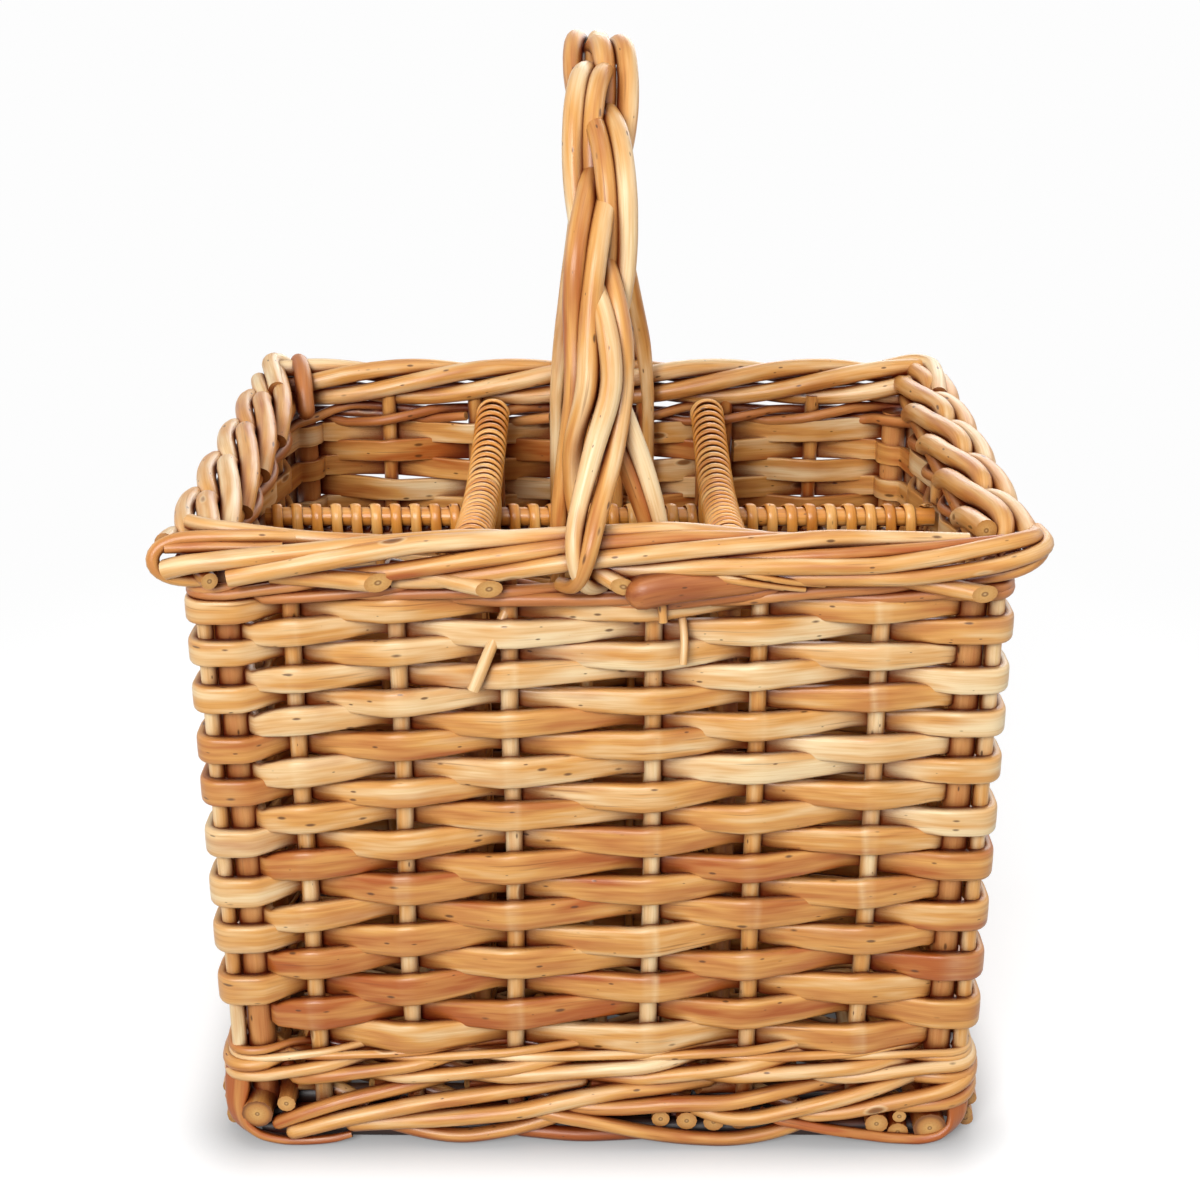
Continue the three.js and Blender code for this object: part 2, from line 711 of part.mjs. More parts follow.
function rodPoints(phase, tails) {
  const points = [];
  for (let i = 0; i <= ARCH_STEPS; i++) {
    const share = i / ARCH_STEPS;
    const turn = Math.PI * share;
    const away = new THREE.Vector3(
      0,
      -HANDLE_RISE * Math.cos(turn),
      handleHalfSpan * Math.sin(turn),
    ).normalize();
    const lay = phase + 2 * Math.PI * share - Math.sin(2 * Math.PI * share);
    points.push(
      bowPoint(turn)
        .addScaledVector(away, HANDLE_TWIST_RADIUS * Math.cos(lay))
        .add(new THREE.Vector3(HANDLE_TWIST_RADIUS * Math.sin(lay), 0, 0)),
    );
  }
  if (!tails) return points;
  const spread = Math.sign(Math.sin(phase)) * HANDLE_TAIL_SPREAD;
  const tail = (end, height, share) => new THREE.Vector3(end.x + spread * share, end.y, height);
  const front = points[0];
  const back = points[ARCH_STEPS];
  const spreadEnd = handleFoot - HANDLE_TAIL_RUN;
  const halfSpread = handleFoot - HANDLE_TAIL_RUN / 2;
  return [
    tail(front, baseTop + CLEARANCE, 1),
    tail(front, spreadEnd, 1),
    tail(front, halfSpread, 0.5),
    ...points,
    tail(back, halfSpread, 0.5),
    tail(back, spreadEnd, 1),
    tail(back, baseTop + CLEARANCE, 1),
  ];
}

[1, 3, 5, 7].forEach((eighth, i) => {
  const phase = (eighth * Math.PI) / 4;
  const inner = Math.cos(phase) < 0;
  const points = rodPoints(phase, inner);
  const rod = rodAlong(points, HANDLE_ROD_DIAMETER, HANDLE_FACETS, inner ? HANDLE_STEPS : ARCH_STEPS);
  addPiece(`handle_rod_${i + 1}`, rod, PALE_WILLOW);
});

export default basket;
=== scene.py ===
import math
import random

import bpy
import numpy as np
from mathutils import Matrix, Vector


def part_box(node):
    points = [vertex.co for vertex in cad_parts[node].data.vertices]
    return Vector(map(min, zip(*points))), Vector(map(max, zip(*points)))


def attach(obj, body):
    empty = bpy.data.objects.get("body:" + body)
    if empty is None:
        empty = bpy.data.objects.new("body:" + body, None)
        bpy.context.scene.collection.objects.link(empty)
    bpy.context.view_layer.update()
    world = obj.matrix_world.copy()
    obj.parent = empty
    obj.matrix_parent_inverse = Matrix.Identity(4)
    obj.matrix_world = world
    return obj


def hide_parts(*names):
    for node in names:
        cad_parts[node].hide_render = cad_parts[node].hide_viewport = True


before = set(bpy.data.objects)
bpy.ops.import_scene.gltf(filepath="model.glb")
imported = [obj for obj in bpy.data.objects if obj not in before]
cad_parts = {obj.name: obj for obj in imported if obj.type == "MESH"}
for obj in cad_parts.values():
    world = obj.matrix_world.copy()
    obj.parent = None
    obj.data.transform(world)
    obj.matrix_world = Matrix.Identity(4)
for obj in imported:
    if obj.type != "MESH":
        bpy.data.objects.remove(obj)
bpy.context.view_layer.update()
MM = 0.001
chance = random.Random(11)


# Base: stout willow sticks laid from front to back, with thinner rods woven across them.
# The sticks' cut ends stand proud of the foot, front and back, in the gaps between its rods.

def linear(code):
    """An sRGB hex colour as linear red, green, blue and alpha."""
    parts = [int(code[i:i + 2], 16) / 255 for i in (1, 3, 5)]
    return [c / 12.92 if c <= 0.04045 else ((c + 0.055) / 1.055) ** 2.4 for c in parts] + [1.0]


def add(tree, kind, links=(), stops=(), **settings):
    """A node, a shader's unless kind says so, with its settings, a ramp's stops, and inputs set or linked."""
    made = tree.nodes.new(kind if "Node" in kind else "ShaderNode" + kind)
    for name, value in settings.items():
        setattr(made, name, value)
    if stops:
        ramp = made.color_ramp.elements
        for end, (at, code) in zip((ramp[0], ramp[1]), (stops[0], stops[-1])):
            end.position = at
            end.color = linear(code)
        for at, code in stops[1:-1]:
            ramp.new(at).color = linear(code)
    for key, value in links.items() if isinstance(links, dict) else enumerate(links):
        if isinstance(value, bpy.types.Node):
            value = value.outputs[0]
        if isinstance(value, bpy.types.NodeSocket):
            tree.links.new(value, made.inputs[key])
        else:
            made.inputs[key].default_value = value
    return made


def willow(name, dark, middle, light, rough):
    """Peeled willow rod: satin skin with long fine grain, tan stains, bud scars and pale cut ends."""
    material = bpy.data.materials.new(name)
    material.use_nodes = True
    tree = material.node_tree
    tree.nodes.clear()
    grain = add(tree, "Attribute", attribute_name="grain").outputs["Vector"]
    shade = add(tree, "Attribute", attribute_name="shade").outputs["Fac"]
    cut = add(tree, "Attribute", attribute_name="cut").outputs["Fac"]
    fold = add(tree, "Attribute", attribute_name="fold").outputs["Fac"]

    def on_rod(texture, per_metre, **inputs):
        """A pattern that follows the rod, with so many cells to the metre along it and across it."""
        at = add(tree, "VectorMath", [grain, per_metre], operation="MULTIPLY")
        return add(tree, texture, {"Vector": at, "Scale": 1.0, **inputs})

    # Blotches are about 45 mm long and 5 mm across, and the grain's lines 25 mm long and 0.7 mm across.
    blotch = on_rod("TexNoise", (22, 180, 180), Detail=2.0)
    streak = on_rod("TexNoise", (40, 1400, 1400), Detail=3.0)
    swing = add(tree, "MapRange",
                {"Value": blotch, "From Min": 0.3, "From Max": 0.7, "To Min": -0.34, "To Max": 0.3})
    tone = add(tree, "Math", [shade, swing], operation="ADD", use_clamp=True)
    skin = add(tree, "ValToRGB", {"Fac": tone}, ((0, dark), (0.5, middle), (1, light)))
    lines = add(tree, "ValToRGB", {"Fac": streak}, ((0.28, "#F3E9D6"), (0.55, "#FFFFFF")))
    grained = add(tree, "Mix", {0: 1.0, 6: skin, 7: lines}, data_type="RGBA", blend_type="MULTIPLY")

    # Tannin stains: red-brown patches about 60 mm long that fade out along the rod.
    stain = on_rod("TexNoise", (16, 90, 90), Detail=3.0)
    stained = add(tree, "MapRange",
                  {"Value": stain, "From Min": 0.58, "From Max": 0.78, "To Min": 0.0, "To Max": 0.75})

    # Drying cracks: thin red-brown lines about 40 mm long.
    crack = on_rod("TexNoise", (26, 800, 800), Detail=1.0)
    cracked = add(tree, "MapRange",
                  {"Value": crack, "From Min": 0.68, "From Max": 0.8, "To Min": 0.0, "To Max": 0.5})

    # Bud scars: dark flecks 1 to 3 mm long, of many sizes, in most cells of about 11 by 4 mm.
    scar = on_rod("TexVoronoi", (90, 250, 250))
    pick = add(tree, "SeparateColor", {"Color": scar.outputs["Color"]})
    size = add(tree, "Math", [pick, 4.0, 1.0], operation="MULTIPLY_ADD")
    reach = add(tree, "Math", [scar, size], operation="MULTIPLY")
    scarred = add(tree, "MapRange",
                  {"Value": reach, "From Min": 0.14, "From Max": 0.26, "To Min": 0.85, "To Max": 0.0})

    # Knots: a few torn brown eyes about 6 mm long with a pale rim, in cells of about 38 by 14 mm.
    knot = on_rod("TexVoronoi", (26, 70, 70))
    which = add(tree, "SeparateColor", {"Color": knot.outputs["Color"]})
    chosen = add(tree, "Math", [which.outputs[1], 0.84], operation="GREATER_THAN")
    eye = add(tree, "MapRange",
              {"Value": knot, "From Min": 0.12, "From Max": 0.17, "To Min": 0.9, "To Max": 0.0})
    torn = add(tree, "Math", [eye, chosen], operation="MULTIPLY")
    heart = add(tree, "ValToRGB", {"Fac": knot}, ((0, "#4A2810"), (0.09, "#8E5A2A"), (0.15, "#F2CF9A")))

    # Where a rod is bent over a stake its fibres lift and show pale.
    lifted = add(tree, "Math", [fold, streak], operation="MULTIPLY")

    # A cut end shows pale wood with fine rings, a small pith and a brown rim.
    across = add(tree, "VectorMath", [grain, (0, 1, 1)], operation="MULTIPLY")
    radius = add(tree, "VectorMath", [across], operation="LENGTH").outputs["Value"]
    depth = add(tree, "MapRange", {"Value": radius, "From Min": 0.0, "From Max": 0.0065})
    wood = add(tree, "ValToRGB", {"Fac": depth},
               ((0, "#DFBB82"), (0.12, "#8A5A2A"), (0.2, "#D9A864"), (0.75, "#BF8444"), (1, "#7E4A1E")))
    rings = add(tree, "Mix", {0: 0.8, 6: wood, 7: lines}, data_type="RGBA", blend_type="MULTIPLY")

    # The marks lie over the grained skin in this order.
    colour = grained.outputs[2]
    marks = ((stained, linear("#B4682C")), (cracked, linear("#7A431B")), (scarred, linear("#56300F")),
             (torn, heart), (lifted, linear("#F6DDAE")), (cut, rings.outputs[2]))
    for mark, over in marks:
        colour = add(tree, "Mix", {0: mark, 6: colour, 7: over}, data_type="RGBA").outputs[2]

    # Painted shade: the colour is darkened to a deep red-brown in the crevices between rods, where shade
    # falls.
    open_air = add(tree, "AmbientOcclusion", {"Distance": 0.014}, samples=8).outputs["AO"]
    painted_shade_mask = add(tree, "MapRange", {"Value": open_air, "From Min": 0.25, "From Max": 0.82})
    painted_shade_tint = add(tree, "Mix", {0: painted_shade_mask, 6: linear("#7E4016"), 7: linear("#FFFFFF")}, data_type="RGBA")
    painted_shade_colour = add(tree, "Mix", {0: 1.0, 6: colour, 7: painted_shade_tint.outputs[2]}, data_type="RGBA", blend_type="MULTIPLY")

    # The satin breaks along the grain, and the bud scars are small pits.
    dull = add(tree, "MapRange", {"Value": streak, "To Min": rough + 0.12, "To Max": rough - 0.1})
    pits = add(tree, "Math", [streak, scarred], operation="SUBTRACT")
    relief = add(tree, "Bump", {"Strength": 0.22, "Distance": 0.0005, "Height": pits})
    surface = add(tree, "BsdfPrincipled", {"Base Color": painted_shade_colour.outputs[2], "Roughness": dull, "Normal": relief,
                                           "Specular IOR Level": 0.5})
    add(tree, "OutputMaterial", {"Surface": surface})
    return material


# Buff willow is boiled in its bark and then peeled, which leaves a warm tan skin with a satin shine.
BUFF = willow("buff willow", "#AE5C22", "#DDA259", "#F5DAAC", 0.37)
# Some rods of the same boil take up more dye, and are redder and duller.
RED = willow("red buff willow", "#9A5226", "#C07A40", "#D99E5E", 0.42)
# A nearly black, matt willow: painted shade for rods that lie in the dark behind the foot.
SHADE_BROWN = willow("near-black willow as painted shade", "#2E170A", "#40220F", "#553017", 0.5)


def willow_rods():
    """Node tree that gives each line of stations a rod's skin, with its own width, thickness and slant."""
    tree = bpy.data.node_groups.new("willow rods", "GeometryNodeTree")
    sockets = (("Stations", "INPUT", "Geometry"), ("Facets", "INPUT", "Int"), ("Lumpiness", "INPUT", "Float"),
               ("Material", "INPUT", "Material"), ("Rods", "OUTPUT", "Geometry"))
    for name, way, kind in sockets:
        tree.interface.new_socket(name, in_out=way, socket_type="NodeSocket" + kind)
    given = add(tree, "NodeGroupInput").outputs
    here = add(tree, "GeometryNodeInputPosition")
    lines = add(tree, "GeometryNodeMeshToCurve", {"Mesh": given["Stations"]})
    stores = (("centre", "FLOAT_VECTOR", here),
              ("run", "FLOAT_VECTOR", add(tree, "GeometryNodeInputTangent")),
              ("along", "FLOAT", add(tree, "GeometryNodeSplineParameter").outputs["Length"]))
    for name, kind, value in stores:
        stored = {"Geometry": lines, "Name": name, "Value": value}
        lines = add(tree, "GeometryNodeStoreNamedAttribute", stored, data_type=kind)
    ring = add(tree, "GeometryNodeCurvePrimitiveCircle", {"Resolution": given["Facets"], "Radius": 1.0})
    ring = add(tree, "GeometryNodeStoreNamedAttribute", {"Geometry": ring, "Name": "ring", "Value": here},
               data_type="FLOAT_VECTOR")
    tube = add(tree, "GeometryNodeCurveToMesh", {"Curve": lines, "Profile Curve": ring, "Fill Caps": True})

    read = {}
    for kind, names in (("FLOAT_VECTOR", ("centre", "run", "face", "ring")),
                        ("FLOAT", ("along", "thick", "wide", "split", "boxy", "slant", "seed"))):
        for name in names:
            read[name] = add(tree, "GeometryNodeInputNamedAttribute", {"Name": name}, data_type=kind)
    leaning = add(tree, "VectorMath", [read["face"], read["run"]], operation="DOT_PRODUCT")
    lean = add(tree, "VectorMath", {0: read["run"], "Scale": leaning.outputs["Value"]}, operation="SCALE")
    square = add(tree, "VectorMath", [read["face"], lean], operation="SUBTRACT")
    outward = add(tree, "VectorMath", [square], operation="NORMALIZE")
    sideways = add(tree, "VectorMath", [read["run"], outward], operation="CROSS_PRODUCT")

    # The section runs from round, at 1, towards a box with soft edges, and a split rod is cut flat behind.
    section = []
    for amount in tuple(add(tree, "SeparateXYZ", [read["ring"]]).outputs)[:2]:
        size = add(tree, "Math", [amount], operation="ABSOLUTE")
        fuller = add(tree, "Math", [size, read["boxy"]], operation="POWER")
        side = add(tree, "Math", [amount], operation="SIGN")
        section.append(add(tree, "Math", [fuller, side], operation="MULTIPLY"))
    flat = add(tree, "Math", [read["split"], -1.0], operation="MULTIPLY")
    up = add(tree, "Math", [section[0], flat], operation="MAXIMUM")

    # Slow swelling along the rod, about 30 mm from lump to lump and different on each rod.
    lump_at = add(tree, "Math", [read["along"], 33.0], operation="MULTIPLY")
    rod_at = add(tree, "Math", [read["seed"], 613.0], operation="MULTIPLY")
    lump_place = add(tree, "CombineXYZ", [lump_at, rod_at])
    lump = add(tree, "TexNoise", {"Vector": lump_place, "Scale": 1.0}, noise_dimensions="2D")
    swing = add(tree, "Math", [lump, 0.5], operation="SUBTRACT")
    swell = add(tree, "Math", [swing, given["Lumpiness"], 1.0], operation="MULTIPLY_ADD")
    reach = []
    for amount, size in ((up, read["thick"]), (section[1], read["wide"])):
        plain = add(tree, "Math", [amount, size], operation="MULTIPLY")
        reach.append(add(tree, "Math", [plain, swell], operation="MULTIPLY"))
    back = add(tree, "Math", [up, read["slant"]], operation="MULTIPLY")
    place = read["centre"]
    for direction, amount in ((outward, reach[0]), (sideways, reach[1]), (read["run"], back)):
        step = add(tree, "VectorMath", {0: direction, "Scale": amount}, operation="SCALE")
        place = add(tree, "VectorMath", [place, step], operation="ADD")
    tube = add(tree, "GeometryNodeSetPosition", {"Geometry": tube, "Position": place})

    # The grain's own place: metres along the rod, from a start of its own, and across its section.
    own_start = add(tree, "Math", [read["seed"], 10.0, read["along"]], operation="MULTIPLY_ADD")
    grain = add(tree, "CombineXYZ", [own_start, reach[0], reach[1]])
    tube = add(tree, "GeometryNodeStoreNamedAttribute", {"Geometry": tube, "Name": "grain", "Value": grain},
               data_type="FLOAT_VECTOR")
    corners = add(tree, "GeometryNodeInputMeshFaceNeighbors").outputs["Vertex Count"]
    end = add(tree, "FunctionNodeCompare", {2: corners, 3: 4}, data_type="INT", operation="GREATER_THAN")
    tube = add(tree, "GeometryNodeStoreNamedAttribute", {"Geometry": tube, "Name": "cut", "Value": end},
               data_type="FLOAT", domain="FACE")
    skin = add(tree, "FunctionNodeBooleanMath", [end], operation="NOT")
    tube = add(tree, "GeometryNodeSetShadeSmooth", {"Geometry": tube, "Selection": skin})
    tube = add(tree, "GeometryNodeRealizeInstances", {"Geometry": tube})
    tube = add(tree, "GeometryNodeSetMaterial", {"Geometry": tube, "Material": given["Material"]})
    add(tree, "NodeGroupOutput", {"Rods": tube})
    return tree


RODS = willow_rods()
STATION_SIZES = ("thick", "wide", "split", "boxy", "slant", "shade", "seed", "fold")


def steady_face(path):
    """A direction square to the rod at each station that doesn't twist along it."""
    run = np.gradient(path, axis=0)
    run /= np.linalg.norm(run, axis=1, keepdims=True)
    face = [np.eye(3)[np.argmin(np.abs(run[0]))]]
    for ahead in run:
        flat = face[-1] - ahead * np.dot(face[-1], ahead)
        face.append(flat / np.linalg.norm(flat))
    return np.array(face[1:])


def rod(path, thick, wide=None, face=None, shade=None, split=1.0, boxy=1.0, slant=(0, 0), fold=0.0):
    """One rod's stations in millimetres: half thickness along face, half width across it, and its tone."""
    path = np.asarray(path, float)
    face = steady_face(path) if face is None else face
    count = len(path)
    sizes = {
        "thick": thick, "wide": thick if wide is None else wide, "split": split, "boxy": boxy, "slant": 0.0,
        "shade": chance.uniform(0.3, 0.7) if shade is None else shade, "seed": chance.random(), "fold": fold,
    }
    table = {name: np.broadcast_to(np.asarray(value, float), count).copy() for name, value in sizes.items()}
    table["slant"][0], table["slant"][-1] = slant
    for name in ("thick", "wide", "slant"):
        table[name] *= MM
    table["path"] = path * MM
    table["face"] = np.broadcast_to(np.asarray(face, float), (count, 3))
    return table


def make(name, rods, material, nodes=(), facets=12, lumps=0.12):
    """A piece of rods as one plain mesh, riding on the basket and standing for its solids."""
    counts = [len(each["path"]) for each in rods]
    starts = np.cumsum([0] + counts[:-1])
    edges = np.concatenate([np.stack([np.arange(a, a + n - 1), np.arange(a + 1, a + n)], 1)
                            for a, n in zip(starts, counts)])
    stations = bpy.data.meshes.new(name)
    stations.from_pydata(np.concatenate([each["path"] for each in rods]).tolist(), edges.tolist(), [])
    for size in STATION_SIZES:
        column = stations.attributes.new(size, "FLOAT", "POINT")
        column.data.foreach_set("value", np.concatenate([each[size] for each in rods]))
    faces = stations.attributes.new("face", "FLOAT_VECTOR", "POINT")
    faces.data.foreach_set("vector", np.concatenate([each["face"] for each in rods]).ravel())
    piece = bpy.data.objects.new(name, stations)
    bpy.context.scene.collection.objects.link(piece)
    skin = piece.modifiers.new("rods", "NODES")
    skin.node_group = RODS
    values = {"Facets": facets, "Lumpiness": lumps, "Material": material}
    for socket in RODS.interface.items_tree:
        if socket.name in values:
            skin[socket.identifier] = values[socket.name]
    mesh = bpy.data.meshes.new_from_object(piece.evaluated_get(bpy.context.evaluated_depsgraph_get()))
    piece.modifiers.remove(skin)
    piece.data = mesh
    mesh.name = name
    for spent in ("centre", "run", "face", "ring", "along", "thick", "wide", "split", "boxy", "slant",
                  "seed"):
        if spent in mesh.attributes:
            mesh.attributes.remove(mesh.attributes[spent])
    mesh.calc_loop_triangles()
    places = np.array([v.co for v in mesh.vertices])
    triangles = np.array([t.vertices for t in mesh.loop_triangles])
    a, b, c = (places[triangles[:, k]] for k in range(3))
    if np.einsum("ij,ij->", a, np.cross(b, c)) < 0:
        mesh.flip_normals()
    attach(piece, "root")
    if nodes:
        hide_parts(*nodes)


def lengths(path):
    """How far along a path each of its places is."""
    return np.r_[0, np.cumsum(np.linalg.norm(np.diff(path, axis=0), axis=1))]


def bend(corners, step=3.0, soft=6.0):
    """Even stations along a rod bent through its corners, rounded over about soft millimetres."""
    corners = np.asarray(corners, float)
    runs = lengths(corners)
    count = max(int(runs[-1] / step), 4)
    at = np.linspace(0, runs[-1], count + 1)
    path = np.stack([np.interp(at, runs, corners[:, k]) for k in range(3)], 1)
    reach = min(int(2.5 * soft / step) + 1, count - 1)
    weights = np.exp(-0.5 * (np.arange(-reach, reach + 1) * step / soft) ** 2)
    weights /= weights.sum()
    before = 2 * path[0] - path[reach:0:-1]
    after = 2 * path[-1] - path[-2:-reach - 2:-1]
    full = np.vstack([before, path, after])
    return np.stack([np.convolve(full[:, k], weights, "valid") for k in range(3)], 1)


def taper(path, butt, tip):
    """Half thickness at each station, from a rod's butt to its tip."""
    return np.linspace(butt, tip, len(path))


BASE_MIDDLE = 14.0
BASE_HALF_WIDTH, BASE_HALF_DEPTH = 158.0, 118.0
BASE_STICKS, BASE_ROWS = 9, 15
BASE_REACH_X, BASE_REACH_Y = 152.0, 107.5
STICK_RADIUS = 3.6
BASE_WEAVER = (2.2, 3.6)
BESIDE, OVER = 3.4, 5.2
PROUD_FRONT, PROUD_BACK = -130.0, 127.0
# Each proud end: place along the front, height and radius.
PROUD_ENDS = [(-157.5, 19, 7.0), (-144, 24, 4.2), (152.0, 11.4, 7.9), (137.6, 8.0, 5.0), (127.5, 13, 5.2),
              (138, 16.2, 3.2), (28, 14.6, 4.2), (40, 13.6, 4.8), (52.5, 13.0, 4.9), (64.5, 12.4, 4.4)]
stick_places = np.linspace(-BASE_REACH_X, BASE_REACH_X, BASE_STICKS + 2)[1:-1]
row_places = np.linspace(-BASE_REACH_Y, BASE_REACH_Y, BASE_ROWS + 2)[1:-1]
base = []
for x in stick_places:
    ends = [(x, y, BASE_MIDDLE) for y in (-BASE_HALF_DEPTH, BASE_HALF_DEPTH)]
    base.append(rod(bend(ends, 12), STICK_RADIUS))
for x, z, radius in PROUD_ENDS:
    front = PROUD_FRONT - 2.5 * (radius > 6) + chance.uniform(-1.5, 1.5)
    level = [(x, y, BASE_MIDDLE) for y in (-60, 60, PROUD_BACK)]
    base.append(rod(bend([(x, front, z), (x, -90, z), *level], 6), radius, shade=0.35))
for row, row_y in enumerate(row_places):
    for y in (row_y - BESIDE, row_y + BESIDE):
        corners = [(-BASE_HALF_WIDTH, y, BASE_MIDDLE)]
        for n, x in enumerate(stick_places):
            corners.append((x, y, BASE_MIDDLE + (-OVER if (n + row) % 2 else OVER)))
        corners.append((BASE_HALF_WIDTH, y, BASE_MIDDLE))
        base.append(rod(bend(corners, 5, 5), *BASE_WEAVER))
make("base_weave_rods", base, BUFF, ["base_weave"], 12)

# The base's edge is stiffened with rods coloured nearly black, as painted shade that fills the dark behind
# the foot.
EDGE_HALF_WIDTH, EDGE_HALF_DEPTH = 155, 112
# Each edging rod: radius, how far out it lies, and height.
EDGING_RODS = ((5.4, 0, 6.0), (4.6, 0, 16.0), (4.4, 10, 5.0))
edging = []
for radius, out, z in EDGING_RODS:
    for sign in (-1, 1):
        x, y = sign * (EDGE_HALF_WIDTH + out), sign * (EDGE_HALF_DEPTH + out)
        edging.append(rod(bend([(-157, y, z), (157, y, z)], 12), radius))
        edging.append(rod(bend([(x, -110, z), (x, 110, z)], 12), radius))
make("base_edging_rods", edging, SHADE_BROWN)


# Uprights: round willow stakes pushed into the base, and at each corner a thick red post
# with a thin stake beside it. The weave holds them, and their tops are bent down into the border.

def middle(node):
    """The middle of a solid's box, in millimetres."""
    low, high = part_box(node)
    return [(a + b) / 2 / MM for a, b in zip(low, high)]


UPRIGHT_NAMES = (["corner_post_front_left"] + [f"stake_front_{n}" for n in range(1, 7)]
                 + ["corner_post_front_right"] + [f"stake_right_{n}" for n in range(1, 5)]
                 + ["corner_post_back_right"] + [f"stake_back_{n}" for n in range(1, 7)]
                 + ["corner_post_back_left"] + [f"stake_left_{n}" for n in range(1, 5)])
STAKE_RADIUS = 4.0
POST_RADIUS = 6.3
THIN_STAKE_RADIUS = 3.5
THIN_STAKE_AT = (165.2, 120.3)
STAKE_FOOT = 14.0
STAKE_TOP = 287.0
POST_TOP = 279.0
stakes = []
posts = []
for name in UPRIGHT_NAMES:
    x, y, z = middle(name)
    is_post = name.startswith("corner")
    heights = np.linspace(STAKE_FOOT, POST_TOP if is_post else STAKE_TOP, 8)
    path = bend([(x + chance.uniform(-0.8, 0.8), y, z) for z in heights], 6, 15)
    if is_post:
        posts.append(rod(path, POST_RADIUS, shade=chance.uniform(0.7, 0.95)))
        sx, sy = math.copysign(1, x), math.copysign(1, y)
        thin = [(sx * THIN_STAKE_AT[0], sy * THIN_STAKE_AT[1], z) for z in (STAKE_FOOT, 150, STAKE_TOP)]
        stakes.append(rod(bend(thin, 6), THIN_STAKE_RADIUS, shade=0.75))
    else:
        # Painted shade: the back stakes are coloured darker, for the shade they stand in inside the basket.
        shade = chance.uniform(0.1, 0.35) if name.startswith("stake_back") else chance.uniform(0.55, 0.85)
        stakes.append(rod(path, taper(path, STAKE_RADIUS + 0.1, STAKE_RADIUS - 0.3), shade=shade))
make("stakes", stakes, BUFF, [n for n in UPRIGHT_NAMES if n.startswith("stake")], 14)
make("corner_posts", posts, RED, [n for n in UPRIGHT_NAMES if n.startswith("corner")], 16)


# Foot and lower wale: rounds of three rods at a time, each in front of two stakes and behind one,
# so that their runs slope up to the right. The foot's rods are stouter, and along the front they are
# long single lengths. At each corner a flat split stake is bent under the base.

WALL_HALF_WIDTH = 164.0
WALL_HALF_DEPTH = 119.5
CORNER_FOLD = 3.5
CORNER_RUN = 18.0
BEARING = 3.6
CORNERS = {0: (-1, -1), 7: (1, -1), 12: (1, 1), 19: (-1, 1)}
UPRIGHTS = [middle(name)[:2] for name in UPRIGHT_NAMES]
ROUND = len(UPRIGHTS)
BACK_STAKE = 14


def wall_stop(number, outside, reach):
    """Where a woven rod passes one upright: plan places, outside or inside it by reach."""
    x, y = UPRIGHTS[number]
    if number in CORNERS:
        sx, sy = CORNERS[number]
        if outside:
            fold = np.array([sx * (WALL_HALF_WIDTH + reach), sy * (WALL_HALF_DEPTH + reach)])
            arrive = np.array([0, sy]) if sx * sy > 0 else np.array([sx, 0])
            leave = np.array([-sx, 0]) if sx * sy > 0 else np.array([0, -sy])
            return [fold - CORNER_RUN * arrive, fold - CORNER_FOLD * arrive,
                    fold + CORNER_FOLD * leave, fold + CORNER_RUN * leave]
        inward = math.atan2(-sy, -sx)
        turn_radius = reach - STAKE_RADIUS + POST_RADIUS
        return [np.array([x, y]) + turn_radius * np.array([math.cos(inward + a), math.sin(inward + a)])
                for a in (1.2, 0.6, 0, -0.6, -1.2)]
    out = np.array([0, -1] if number < 7 else [1, 0] if number < 12 else [0, 1] if number < 19 else [-1, 0])
    along = np.array([-out[1], out[0]])
    middle_at = np.array([x, y]) + out * (reach if outside else -reach)
    return [middle_at - BEARING * along, middle_at + BEARING * along]


def woven(is_outside, reach, first, step=2.5, soft=3.5):
    """A woven rod's plan from upright first round to it again: stations, upright number, and side."""
    stops, numbers, sides = [], [], []
    for n in range(first, first + ROUND + 1):
        number = n % ROUND
        outside = is_outside(number)
        places = wall_stop(number, outside, reach)
        half = len(places) // 2
        if n == first:
            places = places[half:]
        elif n == first + ROUND:
            places = places[:half]
        spread = np.linspace(-0.1, 0.1, len(places))
        stops += places
        numbers += list(n + spread)
        sides += [1.0 if outside else -1.0] * len(places)
    stops = np.array(stops)
    runs = lengths(stops)
    path = bend(np.c_[stops, np.zeros(len(stops))], step, soft)
    at = np.linspace(0, runs[-1], len(path))
    return path, np.interp(at, runs, numbers), np.interp(at, runs, sides)


def outward(path):
    """The level direction away from the basket's middle at each station."""
    run = np.gradient(path, axis=0)
    face = np.stack([run[:, 1], -run[:, 0], np.zeros(len(run))], 1)
    return face / np.linalg.norm(face, axis=1, keepdims=True)


def wale_round(height, rise, radius, tones, wander=0.0, front=True, dip=0.0):
    """Three rods of one round. Each climbs by twice its rise while it is outside, and drops back inside."""
    rods = []
    for strand in range(3):
        first = BACK_STAKE + 1 + strand
        reach = STAKE_RADIUS + radius + 0.2
        path, number, _ = woven(lambda n: (n - strand) % 3 != 0, reach, first, 3.5, 7.0)
        phase = np.mod(number - strand, 3)
        outside = np.clip((phase - 0.5) / 2, 0, 1)
        inside = np.where(phase > 2.5, phase - 2.5, phase + 0.5)
        climb = np.where((phase > 0.5) & (phase <= 2.5), 2 * outside - 1, 1 - 2 * inside)
        waves = wander * np.sin(number * 1.7 + strand * 2.1 + height)
        sag = dip * np.exp(-((path[:, 0] - 12) / 45) ** 2) * (path[:, 1] < 0)
        path[:, 2] = height + rise * climb + waves - sag
        swell = radius * (1 + 0.1 * np.sin(number * 0.9 + strand))
        shade = chance.uniform(*tones)
        kept = np.full(len(path), True) if front else path[:, 1] > -WALL_HALF_DEPTH
        for run in np.split(np.arange(len(path)), np.flatnonzero(np.diff(kept)) + 1):
            if kept[run[0]] and len(run) > 3:
                rods.append(rod(path[run], swell[run], face=outward(path[run]), shade=shade))
    return rods


DOME = ((0.5, 0.87), (0.8, 0.6), (0.95, 0.31), (1.0, 0.06))


